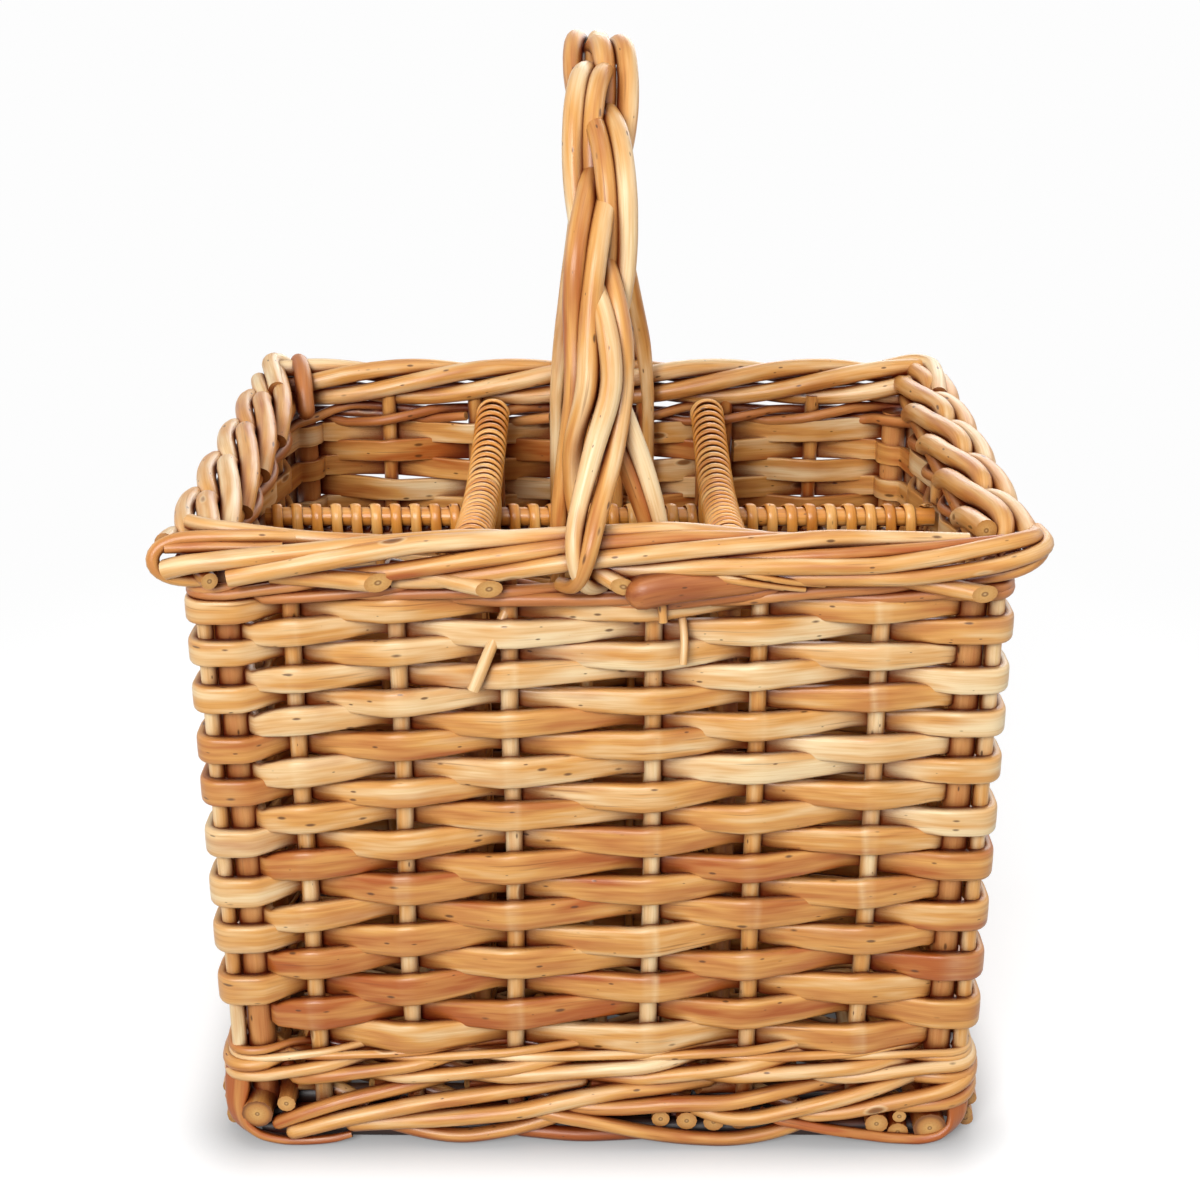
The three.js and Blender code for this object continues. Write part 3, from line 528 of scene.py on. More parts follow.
def blunt(path, size, start=True, end=True):
    """A rod's stations and half thickness, with its ends rounded over."""
    size = np.broadcast_to(np.asarray(size, float), len(path))
    for rounded in (end, start):
        run = path[-1] - path[-2]
        run = run / np.linalg.norm(run)
        if rounded:
            tip = [path[-1] + run * size[-1] * reach for reach, share in DOME]
            path = np.vstack([path, tip])
            size = np.r_[size, [size[-1] * share for reach, share in DOME]]
        path, size = path[::-1], size[::-1]
    return path, size


# Each front rod of the foot: radius, tone and the places that it is bent through.
FRONT_FOOT = [
    (3.4, 0.2, [(-148, -130, 13), (-142, -131, 16.5), (-118, -130, 25), (-87, -125, 30), (-73, -120, 31)]),
    (3.8, 0.5, [(-141, -132, 9.5), (-118, -132, 16.5), (-80, -130, 24), (-37, -127, 29), (-9, -122, 31)]),
    (4.0, 0.55, [(-114, -128, 11), (-71, -131, 16), (-37, -131, 19.5), (-17, -130, 24.5), (8, -128, 29),
                 (33, -125, 30), (50, -120, 30)]),
    (3.4, 0.3, [(-100, -124, 9), (-79, -130, 7), (-62, -131, 5.5), (-39, -130, 9.5), (-17, -127, 15.5),
                (-4, -122, 20)]),
    (3.8, 0.3, [(-22, -124, 20), (-8, -129, 20.5), (12, -130, 21), (33, -130, 23.5), (59, -131, 24),
                (88, -126, 28.5), (110, -121, 31)]),
    (3.4, 0.4, [(-30, -128, 18.5), (-21, -131, 17.5), (0, -132, 14), (17, -132, 9.5), (38, -131, 5.2),
                (60, -131, 3.8), (78, -130, 6.5), (97, -126, 11.5), (106, -121, 14)]),
    (3.6, 0.6, [(44, -128, 20), (52, -131, 17.5), (67, -132, 15.5), (88, -131, 20), (114, -130, 27),
                (131, -128, 32), (146, -122, 35)]),
    (3.6, 0.35, [(90, -126, 15), (99, -130, 17), (114, -131, 19.5), (131, -131, 24), (148, -131, 28),
                 (163, -130, 32), (171, -124, 35), (172, -112, 36)]),
    (3.6, 0.3, [(132, -126, 21), (144, -130, 22.5), (163, -130.5, 24.5), (171, -124, 26.5), (172, -112, 27)]),
    (3.4, 0.1, [(-37, -126, 6), (-11, -128, 4.4), (20, -126, 4.4)]),
]
foot = wale_round(20.5, 6.0, 4.0, (0.25, 0.5), 0.8, False)
foot += wale_round(7.6, 2.6, 3.6, (0.2, 0.45), 0.9, False)
for radius, shade, corners in FRONT_FOOT:
    path, size = blunt(bend(corners, 3, 6), radius)
    foot.append(rod(path, size, shade=shade))


def corner_strap(corners, faces, thick, wide, flip=1.0):
    """A split stake bent under a corner, with its flat face turned as the listed directions."""
    corners, faces = np.array(corners, float), np.array(faces, float)
    corners[:, 1] *= flip
    faces[:, 1] *= flip
    runs = lengths(corners)
    path = bend(corners, 2.5, 3)
    at = np.linspace(0, runs[-1], len(path))
    face = np.stack([np.interp(at, runs, faces[:, k]) for k in range(3)], 1)
    # Painted shade: the strap is coloured dark, for the shade low at the corner.
    return rod(path, np.interp(at, runs, thick), np.interp(at, runs, wide), face, 0.05, 1.0, 0.6)


LEFT_STRAP = [(-166, -123, 44), (-167, -125, 30), (-168, -127, 20), (-165.5, -129, 11.5), (-157, -130.5, 6),
              (-146, -131, 3.6), (-134, -131, 3.4), (-122, -130.5, 4.4), (-115, -129.5, 6)]
LEFT_FACES = [(-0.5, -0.9, 0)] * 3 + [(-0.4, -0.7, -0.6), (-0.2, -0.5, -0.8)] + [(0, -0.5, -0.9)] * 4
LEFT_THICK = [2.0] * 8 + [1.6]
LEFT_WIDE = [6.8, 6.6, 5.4, 5.0, 4.8, 4.0, 3.0, 2.6, 2.0]
RIGHT_STRAP = [(162.5, -123, 44), (164, -125, 28), (165.5, -127, 18), (163.5, -129, 11), (157.5, -130.5, 6),
               (148, -131, 4.2), (132, -131, 5.2), (106, -131, 9.5), (82, -130, 14.2), (74, -126, 16.5)]
RIGHT_FACES = [(0.45, -0.9, 0)] * 3 + [(0.3, -0.7, -0.6), (0.1, -0.5, -0.8)] + [(0, -0.5, -0.9)] * 5
RIGHT_THICK = [2.0] * 4 + [2.2, 2.5, 2.6, 2.6, 2.4, 2.0]
RIGHT_WIDE = [6.8, 6.6, 5.2, 4.6, 4.2, 3.6, 3.0, 3.0, 2.8, 2.4]
for flip in (1.0, -1.0):
    foot.append(corner_strap(LEFT_STRAP, LEFT_FACES, LEFT_THICK, LEFT_WIDE, flip))
    foot.append(corner_strap(RIGHT_STRAP, RIGHT_FACES, RIGHT_THICK, RIGHT_WIDE, flip))
make("foot_border_rods", foot, BUFF, ["foot_border"], 14)
lower_wale = wale_round(47.0, 2.6, 2.1, (0.35, 0.7), 0.6)
lower_wale += wale_round(38.8, 5.6, 3.4, (0.4, 0.75), 0.6)
make("lower_wale_rods", lower_wale, BUFF, ["lower_wale"], 14)


# Siding: each course is a stout split rod woven in front of one upright and behind the next, its flat
# face inwards. It is boxy, tallest where it is creased over a stake, and lower where it dives behind, and
# each length of it climbs to the right. A short course on each wall fills up to the wale.

COURSES = 18
WEAVER_THICKNESS = 3.3
WEAVER_BACK = 0.5
CREST_HEIGHT = 1.22
FRONT_DIVE_HEIGHT, BACK_DIVE_HEIGHT = 0.8, 1.1
FRONT_DIVE_DROP, BACK_DIVE_DROP = 2.2, -1.6
SPINDLE_RISE = 2.0
TURN_BACK = 0.78
PALER_UP = 0.0018
TONE_STATIONS = 17
for course in range(COURSES + 1):
    name = f"siding_course_{max(course, 1):02d}"
    low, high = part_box(name)
    height = (low[2] + high[2]) / 2 / MM
    half_pitch = (high[2] - low[2]) / 2 / MM + 0.15
    if course == 0:
        height -= 2 * half_pitch
    first = BACK_STAKE if (BACK_STAKE + course) % 2 else BACK_STAKE + 1
    reach = STAKE_RADIUS + 0.1 + WEAVER_BACK * WEAVER_THICKNESS
    path, number, side = woven(lambda n: (n + course) % 2 == 0, reach, first, 2.0, 1.8)
    path[:, 2] = height + 0.8 * np.sin(number * 0.83 + course * 1.9) + 0.6 * np.sin(number * 2.3 + course)
    # The phase is 0 where the course crosses in front of a stake, and 1 or -1 where it is behind the next.
    phase = np.mod(number + course + 1, 2) - 1
    from_crest = np.abs(phase)
    backward = np.clip(0.5 + path[:, 1] / 180, 0, 1)
    dive_height = FRONT_DIVE_HEIGHT + (BACK_DIVE_HEIGHT - FRONT_DIVE_HEIGHT) * backward
    dive_drop = FRONT_DIVE_DROP + (BACK_DIVE_DROP - FRONT_DIVE_DROP) * backward
    fall = np.sign(phase) * (1 - from_crest) * TURN_BACK / (1 - TURN_BACK)
    path[:, 2] += SPINDLE_RISE * (1 - backward) * np.where(from_crest < TURN_BACK, phase, fall)
    path[:, 2] -= dive_drop * (from_crest - 0.5)
    # Each length, from one dive behind a stake to the next, has its own tone, crease and swelling.
    stretch = np.floor((number + course + 1) / 2).astype(int)
    stretch -= stretch.min()
    tones, folds, swells, edges = [], [], [], []
    tone = chance.uniform(0.3, 0.8)
    for each in range(stretch.max() + 1):
        tone = 0.4 * tone + 0.6 * chance.uniform(0.1, 1.0)
        tones.append(tone + PALER_UP * (height - 165))
        folds.append(chance.choice((0.0, 0.1, 0.25, 0.6)))
        swells.append(chance.uniform(0.93, 1.06))
        edges.append(chance.choice((-0.07, 0.07)))
    tones, folds, swells, edges = (np.array(each)[stretch] for each in (tones, folds, swells, edges))
    tones = np.pad(tones, TONE_STATIONS // 2, "edge")
    tones = np.convolve(tones, np.ones(TONE_STATIONS) / TONE_STATIONS, "valid")
    turned = np.min([np.abs(np.mod(number - n + ROUND / 2, ROUND) - ROUND / 2) for n in CORNERS], axis=0)
    cornered = np.clip(1.5 - 3 * turned, 0, 1)
    tall = dive_height + (CREST_HEIGHT - dive_height) * (1 - from_crest) ** 0.75
    tall *= swells * (1 - 0.08 * cornered)
    crease = np.exp(-((phase - edges) / 0.02) ** 2) + 0.4 * np.exp(-(from_crest / 0.07) ** 4)
    # Painted shade: the courses are coloured darker towards the back, for the shaded inside of the back wall.
    weaver = {
        "thick": WEAVER_THICKNESS * (1 - 0.12 * from_crest), "wide": half_pitch * tall, "face": outward(path),
        "shade": tones - 0.15 * backward, "boxy": 0.52 - 0.17 * cornered,
        "fold": np.where(side > 0.6, crease, 0) * folds,
    }
    if course:
        make(name + "_weaver", [rod(path, split=WEAVER_BACK, **weaver)], BUFF, [name], 18, 0.1)
    else:
        place = np.mod(number, ROUND)
        runs = []
        for low, high in ((0.75, 11.25), (12.75, 23.25)):
            wall = np.flatnonzero((place > low) & (place < high))
            for run in np.split(wall, np.flatnonzero(np.diff(wall) > 1) + 1):
                length = {key: value[run] for key, value in weaver.items()}
                runs.append(rod(path[run], split=WEAVER_BACK, **length))
        make("siding_short_course_weavers", runs, BUFF, facets=18, lumps=0.1)


# Upper wale: one round of thin red rods that locks the siding under the border. It sags at the middle
# of the front, under the handle.

upper_wale = wale_round(276.0, 3.6, 2.7, (0.4, 0.8), 0.8, True, 4.0)
make("upper_wale_rods", upper_wale, RED)


# Border: the stakes' tops bent down and plaited along the rim. Long rods climb to the right along the
# front and back, the short sides are plaited in two columns, and some butts show their cut ends.

# Each rod: radius at its butt and at its tip, tone, and the places that it is bent through.
FRONT_RODS = [
    (3.4, 3.0, 0.8, [(-170, -110, 301), (-163, -118, 302), (-119, -121, 297.5), (-86, -121, 296),
                     (-40, -119, 292)]),
    (3.0, 2.8, 0.55, [(-120, -120, 297.5), (-140, -124, 300), (-174, -126, 300), (-183.5, -129, 296),
                      (-184, -131, 288), (-174, -129, 282), (-158, -124, 281)]),
    (3.2, 2.2, 0.6, [(-130, -124, 294.5), (-158, -127, 296.5), (-177, -129, 296.5)]),
    (4.3, 3.4, 0.8, [(-177, -131, 288), (-171, -133.5, 291), (-158, -134, 292.6), (-122, -132, 295.8),
                     (-87, -127, 298), (-53, -122, 299), (-20, -118, 296)]),
    (4.2, 3.5, 0.7, [(-151, -134.5, 286), (-122, -134.5, 291.4), (-75, -131.5, 299.2), (-13, -126, 301),
                     (29, -122, 302), (57, -119, 298), (90, -117, 293)]),
    (3.8, 3.5, 0.55, [(-112, -128, 283), (-87.5, -132, 286.9), (-53, -133.5, 293), (-13, -131, 298),
                      (33, -126, 299.8), (75, -121, 297), (110, -118, 294)]),
    (3.9, 3.5, 0.8, [(-85, -125, 281), (-69, -129, 282.5), (-53, -132, 285.5), (-13, -134.5, 292.5),
                     (42, -131, 297), (94, -126, 300), (151, -122, 297)]),
    (3.8, 3.4, 0.75, [(0, -128, 288), (16, -130, 287), (42, -133, 290), (113, -134.5, 290.8),
                      (140, -133, 294.5), (172, -128, 300), (180, -121, 299), (180, -110, 296)]),
    (3.0, 2.6, 0.4, [(40, -126, 290), (60, -129, 291.8), (96, -132, 294.8), (133, -129, 296.4),
                     (165, -124, 298)]),
    (3.7, 3.2, 0.6, [(62, -126, 283), (82, -131, 284.6), (126, -134.5, 285.6), (160, -133, 290),
                     (180, -128, 294.5), (185.5, -120, 295), (182, -106, 296)]),
    (3.6, 3.6, 0.5, [(-166, -122, 285), (-158.7, -134.5, 284.2)]),
    (1.7, 1.4, 0.75, [(34, -130, 290), (46, -133, 287), (57, -134, 284.4), (75, -131, 280)]),
    (1.8, 1.3, 0.6, [(38, -131, 287), (52, -134, 284.6), (66, -134, 282.6), (84, -130, 279)]),
    (1.6, 1.3, 0.7, [(46, -132, 290), (62, -134.5, 287), (76, -134.5, 284), (92, -130, 281)]),
    (3.2, 3.0, 0.5, [(150, -124, 281), (172, -128, 286), (182, -124, 291), (184, -114, 293)]),
    (2.4, 2.7, 0.95, [(-37, -119, 270), (-42, -123, 259), (-47, -129, 248), (-53, -131.5, 234)]),
    (2.0, 1.8, 0.95, [(24, -128, 281), (26, -131.5, 273), (26, -132, 265)]),
    (1.8, 1.6, 0.95, [(34, -122, 264), (35.5, -129, 257), (34.5, -132, 246)]),
]
CUT_RODS = [
    (4.2, 4.0, 0.5, [(-135, -124, 283), (-118, -128, 283.6), (-90, -137, 284.6)]),
    (4.0, 3.9, 0.55, [(-86, -124, 286), (-70, -128, 284.6), (-45, -136.5, 281.6)]),
    (3.8, 3.7, 0.7, [(-12, -127, 290), (0, -132, 287), (9.5, -137, 282.8)]),
    (4.0, 3.9, 0.55, [(118, -124, 283), (138, -129, 280.4), (156.5, -136.5, 279.4)]),
]
border = []
for butt, tip, shade, corners in CUT_RODS:
    path = bend(corners, 3, 4)
    path = np.vstack([path[:-3], path[-1:]])
    border.append(rod(path, taper(path, butt, tip), face=(0, -1, 0), shade=shade, slant=(0, -4.5)))
for butt, tip, shade, corners in FRONT_RODS:
    path = bend(corners, 3, 6)
    border.append(rod(path, taper(path, butt, tip), shade=shade - 0.16 + chance.uniform(-0.12, 0.12)))

RIM_MIDDLE = 293.0
RIM_SIDE = 168.0
PLAIT_STEP = 50.0
PLAIT_END = 127.0
# One plait step of a side's two columns: how far out, along and up the rod is at each bend.
OUTER_ROD = [(4, -34, -9), (7, -26, -4), (10, -14, 1), (10.5, 0, 3), (9, 16, 4), (5.5, 32, 4), (1.5, 44, 1),
             (-1, 54, -5)]
INNER_ROD = [(0, -6, -8), (1, -2, 1), (1.5, 4, 5.5), (0, 14, 6.5), (-3.5, 28, 6), (-7.5, 46, 4),
             (-10, 62, 2.5), (-11, 76, -0.5), (-10.5, 88, -6)]
for side, start in ((-1, 128.0), (1, 105.0)):
    for unit in range(-1, 6):
        for radius, shape in ((4.4, OUTER_ROD), (4.7, INNER_ROD)):
            jitter = chance.uniform(-1, 1)
            corners = []
            for out, along, up in shape:
                run = start - PLAIT_STEP * unit - along + jitter
                if abs(run) < PLAIT_END:
                    corners.append((side * (RIM_SIDE + out), -side * run, RIM_MIDDLE + up))
            if len(corners) > 3:
                border.append(rod(bend(corners, 2.5, 3.5), radius, shade=chance.uniform(0.4, 0.8)))

for sx in (-1, 1):
    for out, up, radius in ((2, -5, 5.4), (-7, -7, 4.6)):
        core = [(sx * (RIM_SIDE + out), y, RIM_MIDDLE + up) for y in (-122, 0, 122)]
        border.append(rod(bend(core, 6), radius, shade=0.25))

BACK_LAY = -210.0
BACK_STRANDS = 4
BACK_MIDDLE = 123.0
BACK_ROD = 4.6
BACK_CORNER = [
    (4.6, 0.75, [(-160, 128, 296), (-170, 130, 303), (-173, 122, 304), (-168, 104, 302), (-164, 88, 299)]),
    (4.4, 0.7, [(150, 128, 299), (166, 131, 302), (174, 124, 302), (174, 104, 300), (172, 86, 297)]),
]
for strand in range(BACK_STRANDS):
    along = np.arange(-172, 173, 3.0)
    turn = 2 * math.pi * (along / BACK_LAY + strand / BACK_STRANDS)
    path = np.stack([-along, BACK_MIDDLE + 6.8 * np.sin(turn), RIM_MIDDLE + 7.6 * np.cos(turn)], 1)
    border.append(rod(path, BACK_ROD, shade=chance.uniform(0.5, 0.8)))
for radius, shade, corners in BACK_CORNER:
    border.append(rod(bend(corners, 2.5, 4), radius, shade=shade))
make("border_rods", border, BUFF, ["border_strand_1", "border_strand_2"], 14)

# Two stout red butts are left over in the border: one under the front rods and one at the back corner.
FRONT_BUTT = [(17, -134, 279.5), (22, -133.5, 281), (38, -131, 281.5), (62, -127, 282.5), (84, -120, 285)]
BACK_BUTT = [(-158, 125, 303), (-155, 116, 302), (-153, 104, 296), (-152, 100, 284)]
front_butt, front_size = blunt(bend(FRONT_BUTT, 2.5, 4), 7.0, True, False)
front_size = front_size * np.linspace(1.08, 0.75, len(front_size))
back_butt, back_size = blunt(bend(BACK_BUTT, 2.5, 4), 4.6)
butts = [rod(front_butt, front_size, shade=0.3, boxy=0.8), rod(back_butt, back_size, shade=0.5)]
make("border_butts", butts, RED, facets=16)


# Partitions: upright panels that part the inside into six bays. Each is woven from split rods round thin
# sticks that stand on the base, and its top edge lies under a rail.

PANEL_FOOT = 20.3
PANEL_ROW = 11.77
PANEL_STICK = 2.2
PANEL_WEAVER = (1.1, 6.1)
PANEL_WAVE = 3.2


def woven_panel(start, end, top, sticks):
    """Sticks and pairs of weavers of an upright panel between two plan places."""
    start, end = np.array(start, float), np.array(end, float)
    along = (end - start) / np.linalg.norm(end - start)
    square = np.array([along[1], -along[0]])
    places = [(start + end) / 2 + along * stick for stick in sticks]
    rods = []
    for place in places:
        rods.append(rod(bend([(*place, PANEL_FOOT), (*place, top)], 15), PANEL_STICK, shade=0.4))
    for row in range(int((top - PANEL_FOOT) / PANEL_ROW)):
        z = PANEL_FOOT + PANEL_ROW * (row + 0.5)
        band = (row + 1) // 2
        corners = [(*start, z)]
        for n, place in enumerate(places):
            corners.append((*(place + square * (PANEL_WAVE if (n + band) % 2 else -PANEL_WAVE)), z))
        corners.append((*end, z))
        rods.append(rod(bend(corners, 5, 5), *PANEL_WEAVER, face=(*square, 0), boxy=0.7))
    return rods


INNER_X = 154.0
LEG_Y = 104.1
RAIL_X = 55.0
LONG_RAIL_Z = 262.8
CROSS_RAIL_Z = 278.6
LONG_STICKS = np.linspace(-135, 135, 10)
CROSS_STICKS = (-62.4, -34.8, 34.8, 62.4)
weave = woven_panel((-INNER_X, 0), (INNER_X, 0), LONG_RAIL_Z - 6, LONG_STICKS)
make("long_partition_weave", weave, BUFF, ["long_partition"], 8)
for side, sx in (("left", -1), ("right", 1)):
    ends = [(sx * RAIL_X, y) for y in (6 - LEG_Y, LEG_Y - 6)]
    weave = woven_panel(*ends, CROSS_RAIL_Z - 9, CROSS_STICKS)
    make(f"cross_partition_weave_{side}", weave, BUFF, [f"cross_partition_{side}"], 8)


# Rails: bent willow rods along the tops of the partitions, bound from end to end with split cane. Each
# turn lies square to the rail where it shows, and on the long rail it also takes in the partition's edge.

# Split cane is the stem's hard outer skin, glossier than willow and more orange.
CANE = willow("split cane", "#B86A20", "#E59C44", "#F5C276", 0.3)
# The cross rails are brown willow in the bark down the legs. Under the binding the rod is coloured nearly
# black, as painted shade in the gaps between the cane's turns.
RAIL_BARK_AND_SHADE = willow("rail willow in the bark with painted shade", "#2E170A", "#A8652F", "#C48A4E", 0.45)
TURN_STATIONS = 24
SQUARED = 0.85


def wind(path, radius, thick, wide, loops, start, end, normal, tones, steady, drop=0.0, tilt=0.0):
    """A cane strip wound on a rail. Its turns hang lower by drop, and its face leans along it by tilt."""
    runs = lengths(path)
    turn = np.linspace(0, 2 * math.pi * loops, loops * TURN_STATIONS + 1)
    squared = turn + SQUARED * np.cos(turn + steady) - SQUARED * math.cos(steady)
    at = start + (end - start) * np.clip(squared / turn[-1], 0, 1)
    before, centre, after = (np.stack([np.interp(at + step, runs, path[:, k]) for k in range(3)], 1)
                             for step in (-1, 0, 1))
    run = (after - before) / np.linalg.norm(after - before, axis=1, keepdims=True)
    first = np.broadcast_to(np.array(normal, float), centre.shape)
    second = np.cross(run, first)
    radial = np.cos(turn)[:, None] * first + np.sin(turn)[:, None] * second
    wound = centre + (radius + thick) * radial
    wound[:, 2] -= drop * (1 - np.cos(turn)) / 2
    shades = np.repeat([chance.uniform(*tones) for n in range(loops)], TURN_STATIONS)
    return rod(wound, thick, wide, radial + tilt * run, np.r_[shades, 0.5], 0.6)


RAIL_END = INNER_X + 4
LONG_LOOPS = 33
long_path = bend([(-RAIL_END, 0, LONG_RAIL_Z), (RAIL_END, 0, LONG_RAIL_Z)], 6)
make("long_rail_rod", [rod(long_path, 4.5, shade=0.45)], CANE, ["long_rail"], 14)
binding = wind(long_path, 4.6, 0.9, 2.6, LONG_LOOPS, 5, 2 * RAIL_END - 3, (0, 0, 1), (0.35, 0.8), 0.0,
               drop=5.0)
make("long_rail_binding", [binding], CANE, ["long_rail_cane"], 10, 0.05)
CROSS_LOOPS = 31
BOUND_FROM, BOUND_TO = 245.0, 465.2
RAIL_BEND = 14.0
RAIL_SAG, RAIL_LIFT = 3.0, 9.0
BEND_Y = RAIL_BEND - LEG_Y
for side, sx in (("left", -1), ("right", 1)):
    x = sx * RAIL_X
    front_half = [(x, -LEG_Y, PANEL_FOOT)]
    for a in np.linspace(0, math.pi / 2, 8):
        front_half.append((x, BEND_Y - RAIL_BEND * math.cos(a), CROSS_RAIL_Z - RAIL_BEND * (1 - math.sin(a))))
    front_half += [(x, y, CROSS_RAIL_Z) for y in (-60, -30)]
    path = bend(front_half + [(x, -y, z) for x, y, z in front_half[::-1]], 3, 3)
    upper = np.clip((path[:, 2] - 200) / 60, 0, 1)
    path[:, 2] += upper * (RAIL_LIFT * (np.abs(path[:, 1]) / 90) ** 1.6 - RAIL_SAG)
    # Painted shade: the rod is nearly black where it is bound, and has its bark's brown down the legs.
    legs_unshaded = np.clip((CROSS_RAIL_Z - 4 - path[:, 2]) / 8, 0, 1)
    make(f"cross_rail_rod_{side}", [rod(path, 4.9, shade=-0.3 + legs_unshaded)], RAIL_BARK_AND_SHADE,
         [f"cross_rail_{side}"], 14)
    binding = wind(path, 5.2, 1.5, 3.25, CROSS_LOOPS, BOUND_FROM, BOUND_TO, (1, 0, 0), (0.45, 0.8), math.pi,
                   tilt=0.4)
    make(f"cross_rail_binding_{side}", [binding], CANE, [f"cross_rail_cane_{side}"], 10, 0.05)


# Lashings: turns of split cane where a cross rail rides on the long rail. Two are crossed over each
# of these places, and tie the rails together.

LASH_HALF_WIDTH, LASH_HALF_HEIGHT = 7.0, 13.0
LASH_SQUARED = 0.7
lash_z = (LONG_RAIL_Z + CROSS_RAIL_Z) / 2
turn = np.linspace(0, 2 * math.pi, 41)
swing = LASH_HALF_WIDTH * np.sign(np.sin(turn)) * np.abs(np.sin(turn)) ** LASH_SQUARED
lift = LASH_HALF_HEIGHT * np.sign(np.cos(turn)) * np.abs(np.cos(turn)) ** LASH_SQUARED
lashings = []
for sx in (-1, 1):
    for lay in (-1, 1):
        path = np.stack([sx * RAIL_X + swing, lay * swing, lash_z - 2 + lift], 1)
        radial = path - np.array([sx * RAIL_X, 0, lash_z])
        lashings.append(rod(path, 0.9, 2.6, radial, 0.6))
make("rail_lashings", lashings, CANE, facets=8)


# Handle: six stout rods plaited as three pairs over a bow from front to back. At each foot two of them
# are looped over the border, and the others go down inside the wall to the base.

HALF_SPAN = 110.6
BOW_FOOT = 304.2
BOW_RISE = 169.5
TWIST_RADIUS = 9.8
HANDLE_ROD = 4.5
LOOSE_ROD, TUCKED_ROD = 3.9, 3.1
PLAIT_CYCLES = 1.45
PLAIT_WIDTH, PLAIT_DEPTH, PAIR_HALF = 7.2, 8.6, 4.2
PLAIT_BLEND = 0.14
# Each rod's pair, and on which side of it the rod lies.
PAIRS = [(1, -1), (1, 1), (0, 1), (0, -1), (2, -1), (2, 1)]
FRONT_FEET = [
    [(-2.5, -120, 336), (-8.5, -131, 315), (-11, -139, 303), (-10.8, -141.5, 298), (-9.7, -141.5, 292),
     (-8, -140, 284.5), (-4, -133, 280), (1, -126, 279)],
    [(6.1, -115, 334), (1.8, -127, 320), (-2.5, -138, 308), (-3.8, -142.5, 300.5), (-6, -143, 293.5),
     (-8.6, -141.5, 284.5), (-12, -134, 281), (-16, -127, 280)],
    [(11, -104, 343), (18.8, -104, 322), (24.9, -104, 299), (30, -104, 270), (31, -104, 22)],
    [(7, -102, 334), (15, -104, 312), (19.6, -104, 299), (22, -104, 270), (22, -104, 22)],
    [(-12, -105, 340), (-15.3, -104, 317), (-17.6, -104, 296), (-18, -104, 270), (-18, -104, 22)],
    [(-11.5, -111, 335), (-11.5, -109, 318), (-9, -105, 296), (-6, -104, 270), (-6, -104, 22)],
]
BACK_LOOPS = [
    [(-16, 118, 325), (-20, 130, 306), (-19, 138, 298), (-14, 138, 288), (-8, 132, 280), (0, 124, 278)],
    [(16, 118, 325), (19, 130, 306), (18, 138, 298), (13, 138, 288), (6, 132, 280), (0, 124, 278)],
]
BACK_INNER = [
    [(-20, 106, 320), (-23, 104, 290), (-24, 104, 22)],
    [(-6, 104, 315), (-8, 104, 290), (-8, 104, 22)],
    [(8, 104, 315), (9, 104, 290), (9, 104, 22)],
    [(22, 106, 320), (25, 104, 290), (26, 104, 22)],
]
BOW_FROM, BOW_TO = 0.1, 0.84
BOW_STATIONS = 101
share = np.linspace(BOW_FROM, BOW_TO, BOW_STATIONS)
turn = math.pi * share
level = np.zeros(BOW_STATIONS)
bow = np.stack([level, -HALF_SPAN * np.cos(turn), BOW_FOOT + BOW_RISE * np.sin(turn)], 1)
away = np.stack([level, -BOW_RISE * np.cos(turn), HALF_SPAN * np.sin(turn)], 1)
away /= np.linalg.norm(away, axis=1, keepdims=True)
run = np.linspace(0, 1, BOW_STATIONS)
plaited = np.clip(run / PLAIT_BLEND, 0, 1)
plaited = plaited * plaited * (3 - 2 * plaited)
plait, proud = [], []
for strand, (pair, beside) in enumerate(PAIRS):
    lay = 2 * math.pi * (strand + 0.5) / len(PAIRS)
    cycle = 2 * math.pi * (PLAIT_CYCLES * run + pair / 3)
    across = PLAIT_WIDTH * np.sin(cycle) + PAIR_HALF * beside + 0.6 * np.sin(9 * share + 2 * strand)
    out = -PLAIT_DEPTH * np.sin(2 * cycle)
    out = plaited * out + (1 - plaited) * TWIST_RADIUS * math.cos(lay)
    path = bow + away * out[:, None]
    path[:, 0] += plaited * across + (1 - plaited) * TWIST_RADIUS * math.sin(lay)
    plait.append(path)
    proud.append(out)

# The two rods that end furthest out at the back loop over the border there, and the rest go down inside.
outer = sorted(range(len(PAIRS)), key=lambda n: -proud[n][-1])
back_feet = {}
for strands, feet in ((outer[:2], BACK_LOOPS), (outer[2:], BACK_INNER)):
    back_feet.update(zip(sorted(strands, key=lambda n: plait[n][-1][0]), feet))
handle = []
for strand in range(len(PAIRS)):
    whole = bend(np.vstack([FRONT_FEET[strand][::-1], plait[strand], back_feet[strand]]), 3, 6)
    stout = HANDLE_ROD + chance.uniform(-0.4, 0.3)
    size = np.interp(whole[:, 2], (285, 310, 360), (TUCKED_ROD, LOOSE_ROD, stout))
    handle.append(rod(whole, size, shade=chance.uniform(0.35, 0.75)))
make("handle_rods", handle, BUFF, [f"handle_rod_{n}" for n in range(1, 5)], 16)


# Setting: a white paper floor and soft studio light, strongest from the front and above, with the camera
# at the photograph's place.

def in_view(tree):
    """One for a ray that shows the background: straight from the camera, mirrored, or through glass."""
    rays = add(tree, "LightPath").outputs
    shown = rays["Is Camera Ray"]
    for kind in ("Is Glossy Ray", "Is Transmission Ray"):
        shown = add(tree, "Math", [shown, rays[kind]], operation="MAXIMUM")
    return shown


floor_mesh = bpy.data.meshes.new("floor")
floor_mesh.from_pydata([(-12, -6, 0), (12, -6, 0), (12, 18, 0), (-12, 18, 0)], [], [(0, 1, 2, 3)])
floor = bpy.data.objects.new("floor", floor_mesh)
bpy.context.scene.collection.objects.link(floor)
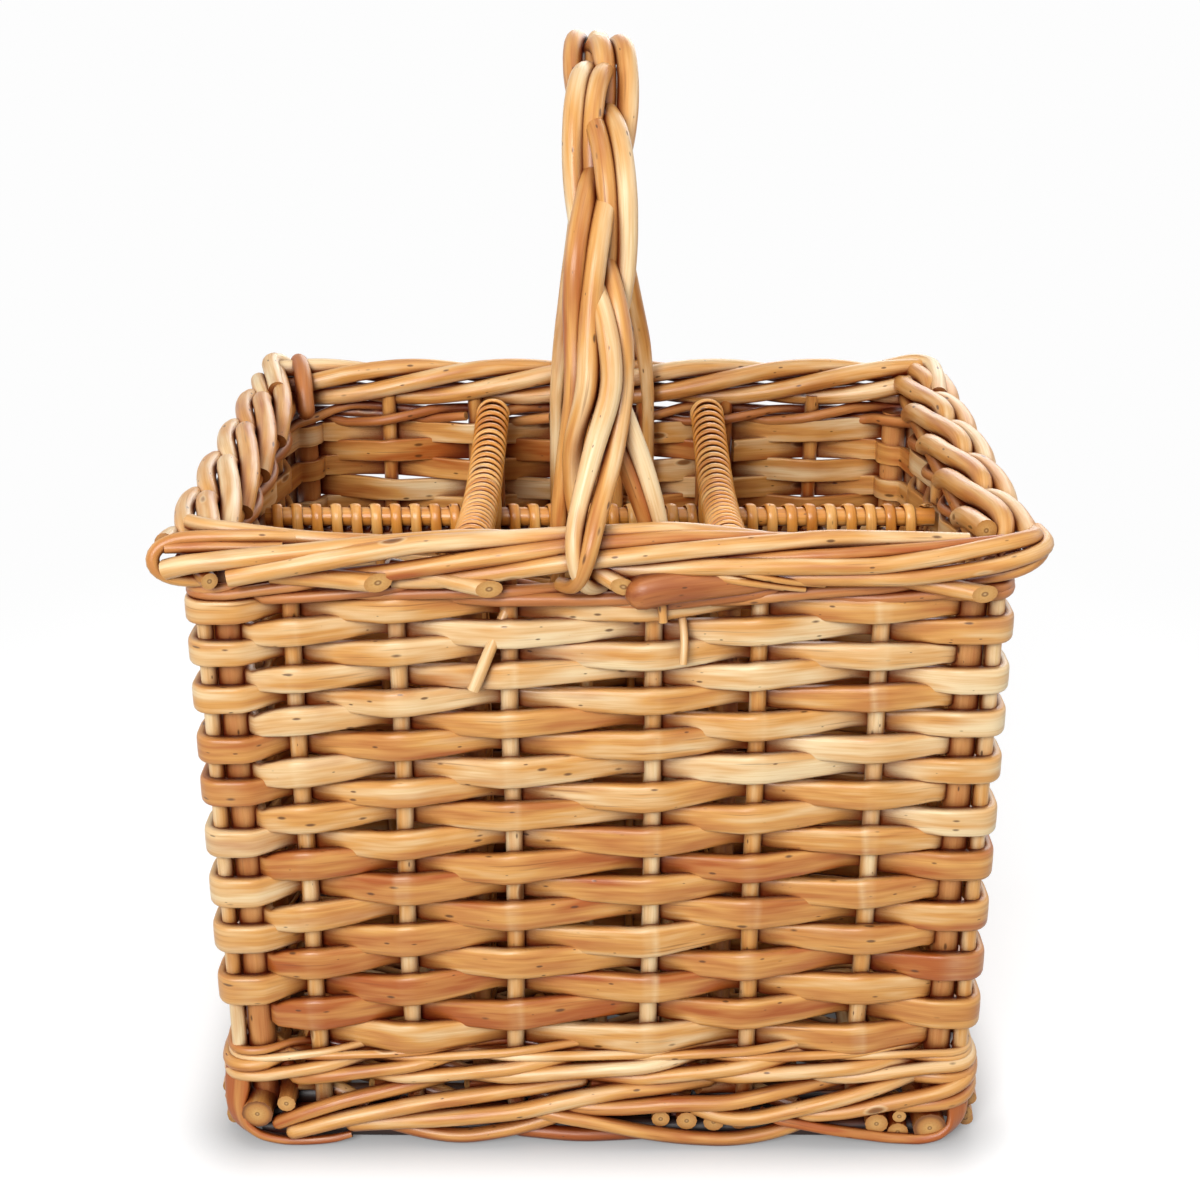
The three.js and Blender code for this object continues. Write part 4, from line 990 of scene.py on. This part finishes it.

# White paper is matt. Its glow is faded near and under the basket's footprint, which paints a soft shadow
# round the foot on top of the real one, and further off it is plain white.
FOOTPRINT = (0.155, 0.112, 0.0)
paper = bpy.data.materials.new("white paper")
paper.use_nodes = True
tree = paper.node_tree
tree.nodes.clear()
place = add(tree, "TexCoord").outputs["Object"]
far = add(tree, "VectorMath", [place], operation="LENGTH").outputs["Value"]
plain = add(tree, "MapRange", {"Value": far, "From Min": 0.3, "From Max": 0.75},
            interpolation_type="SMOOTHSTEP")
lit = add(tree, "BsdfDiffuse", {"Color": linear("#909090")})
shadowed = add(tree, "BsdfDiffuse", {"Color": linear("#B4B4B4")})
size = add(tree, "VectorMath", [place], operation="ABSOLUTE")
past = add(tree, "VectorMath", [size, FOOTPRINT], operation="SUBTRACT")
outside = add(tree, "VectorMath", [past, (0, 0, 0)], operation="MAXIMUM")
beyond = add(tree, "VectorMath", [outside], operation="LENGTH").outputs["Value"]
painted_shadow_ramp = add(tree, "MapRange",
             {"Value": beyond, "From Min": 0.004, "From Max": 0.05, "To Min": 0.05, "To Max": 0.67},
             interpolation_type="SMOOTHSTEP")
glow_with_painted_shadow = add(tree, "Emission", {"Color": linear("#FFFFFF"), "Strength": painted_shadow_ramp})
near_white = add(tree, "AddShader", [shadowed, glow_with_painted_shadow])
far_white = add(tree, "Emission", {"Color": linear("#FDFDFD"), "Strength": 1.0})
white = add(tree, "MixShader", [plain, near_white, far_white])
sheet = add(tree, "MixShader", [in_view(tree), lit, white])
add(tree, "OutputMaterial", {"Surface": sheet})
floor_mesh.materials.append(paper)

# The sky is white where it is seen or mirrored, and otherwise lights the basket only a little.
world = bpy.data.worlds.new("studio")
world.use_nodes = True
sky = world.node_tree.nodes["Background"]
sky.inputs["Color"].default_value = linear("#FFFFFF")
level = add(world.node_tree, "Math", [in_view(world.node_tree), 0.92, 0.07], operation="MULTIPLY_ADD")
world.node_tree.links.new(level.outputs[0], sky.inputs["Strength"])
bpy.context.scene.world = world

# Lamps: name, place, what it is turned to, size in metres and power in watts.
LAMPS = [
    ("key", (-0.55, -1.9, 1.25), (0, 0, 0.2), 1.0, 48.0),
    ("top", (0.1, -0.3, 2.2), (0, 0, 0.3), 1.2, 8.5),
    ("fill", (1.6, -1.0, 1.0), (0, 0, 0.2), 1.4, 4.0),
    ("right", (1.9, 0.3, 0.9), (0, 0, 0.2), 1.4, 10.0),
    ("left", (-1.9, 0.5, 0.9), (0, 0, 0.2), 1.4, 6.0),
    ("back", (0.5, 1.9, 1.1), (0, 0, 0.2), 1.4, 20.0),
]
for name, place, aim, size, power in LAMPS:
    lamp = bpy.data.lights.new(name, "AREA")
    lamp.size = size
    lamp.energy = power
    light = bpy.data.objects.new(name, lamp)
    light.location = place
    away = [p - a for p, a in zip(place, aim)]
    flat = math.hypot(away[0], away[1])
    light.rotation_euler = (math.atan2(flat, away[2]), 0, math.atan2(away[0], -away[1]))
    bpy.context.scene.collection.objects.link(light)

camera = bpy.data.objects.new("camera", bpy.data.cameras.new("camera"))
camera.data.lens = 58.8
camera.data.sensor_width = 36
camera.location = (0, -0.8725, 0.584)
camera.rotation_euler = (math.radians(67.35), 0, 0)
bpy.context.scene.collection.objects.link(camera)
bpy.context.scene.camera = camera
bpy.context.scene.view_settings.view_transform = "Standard"
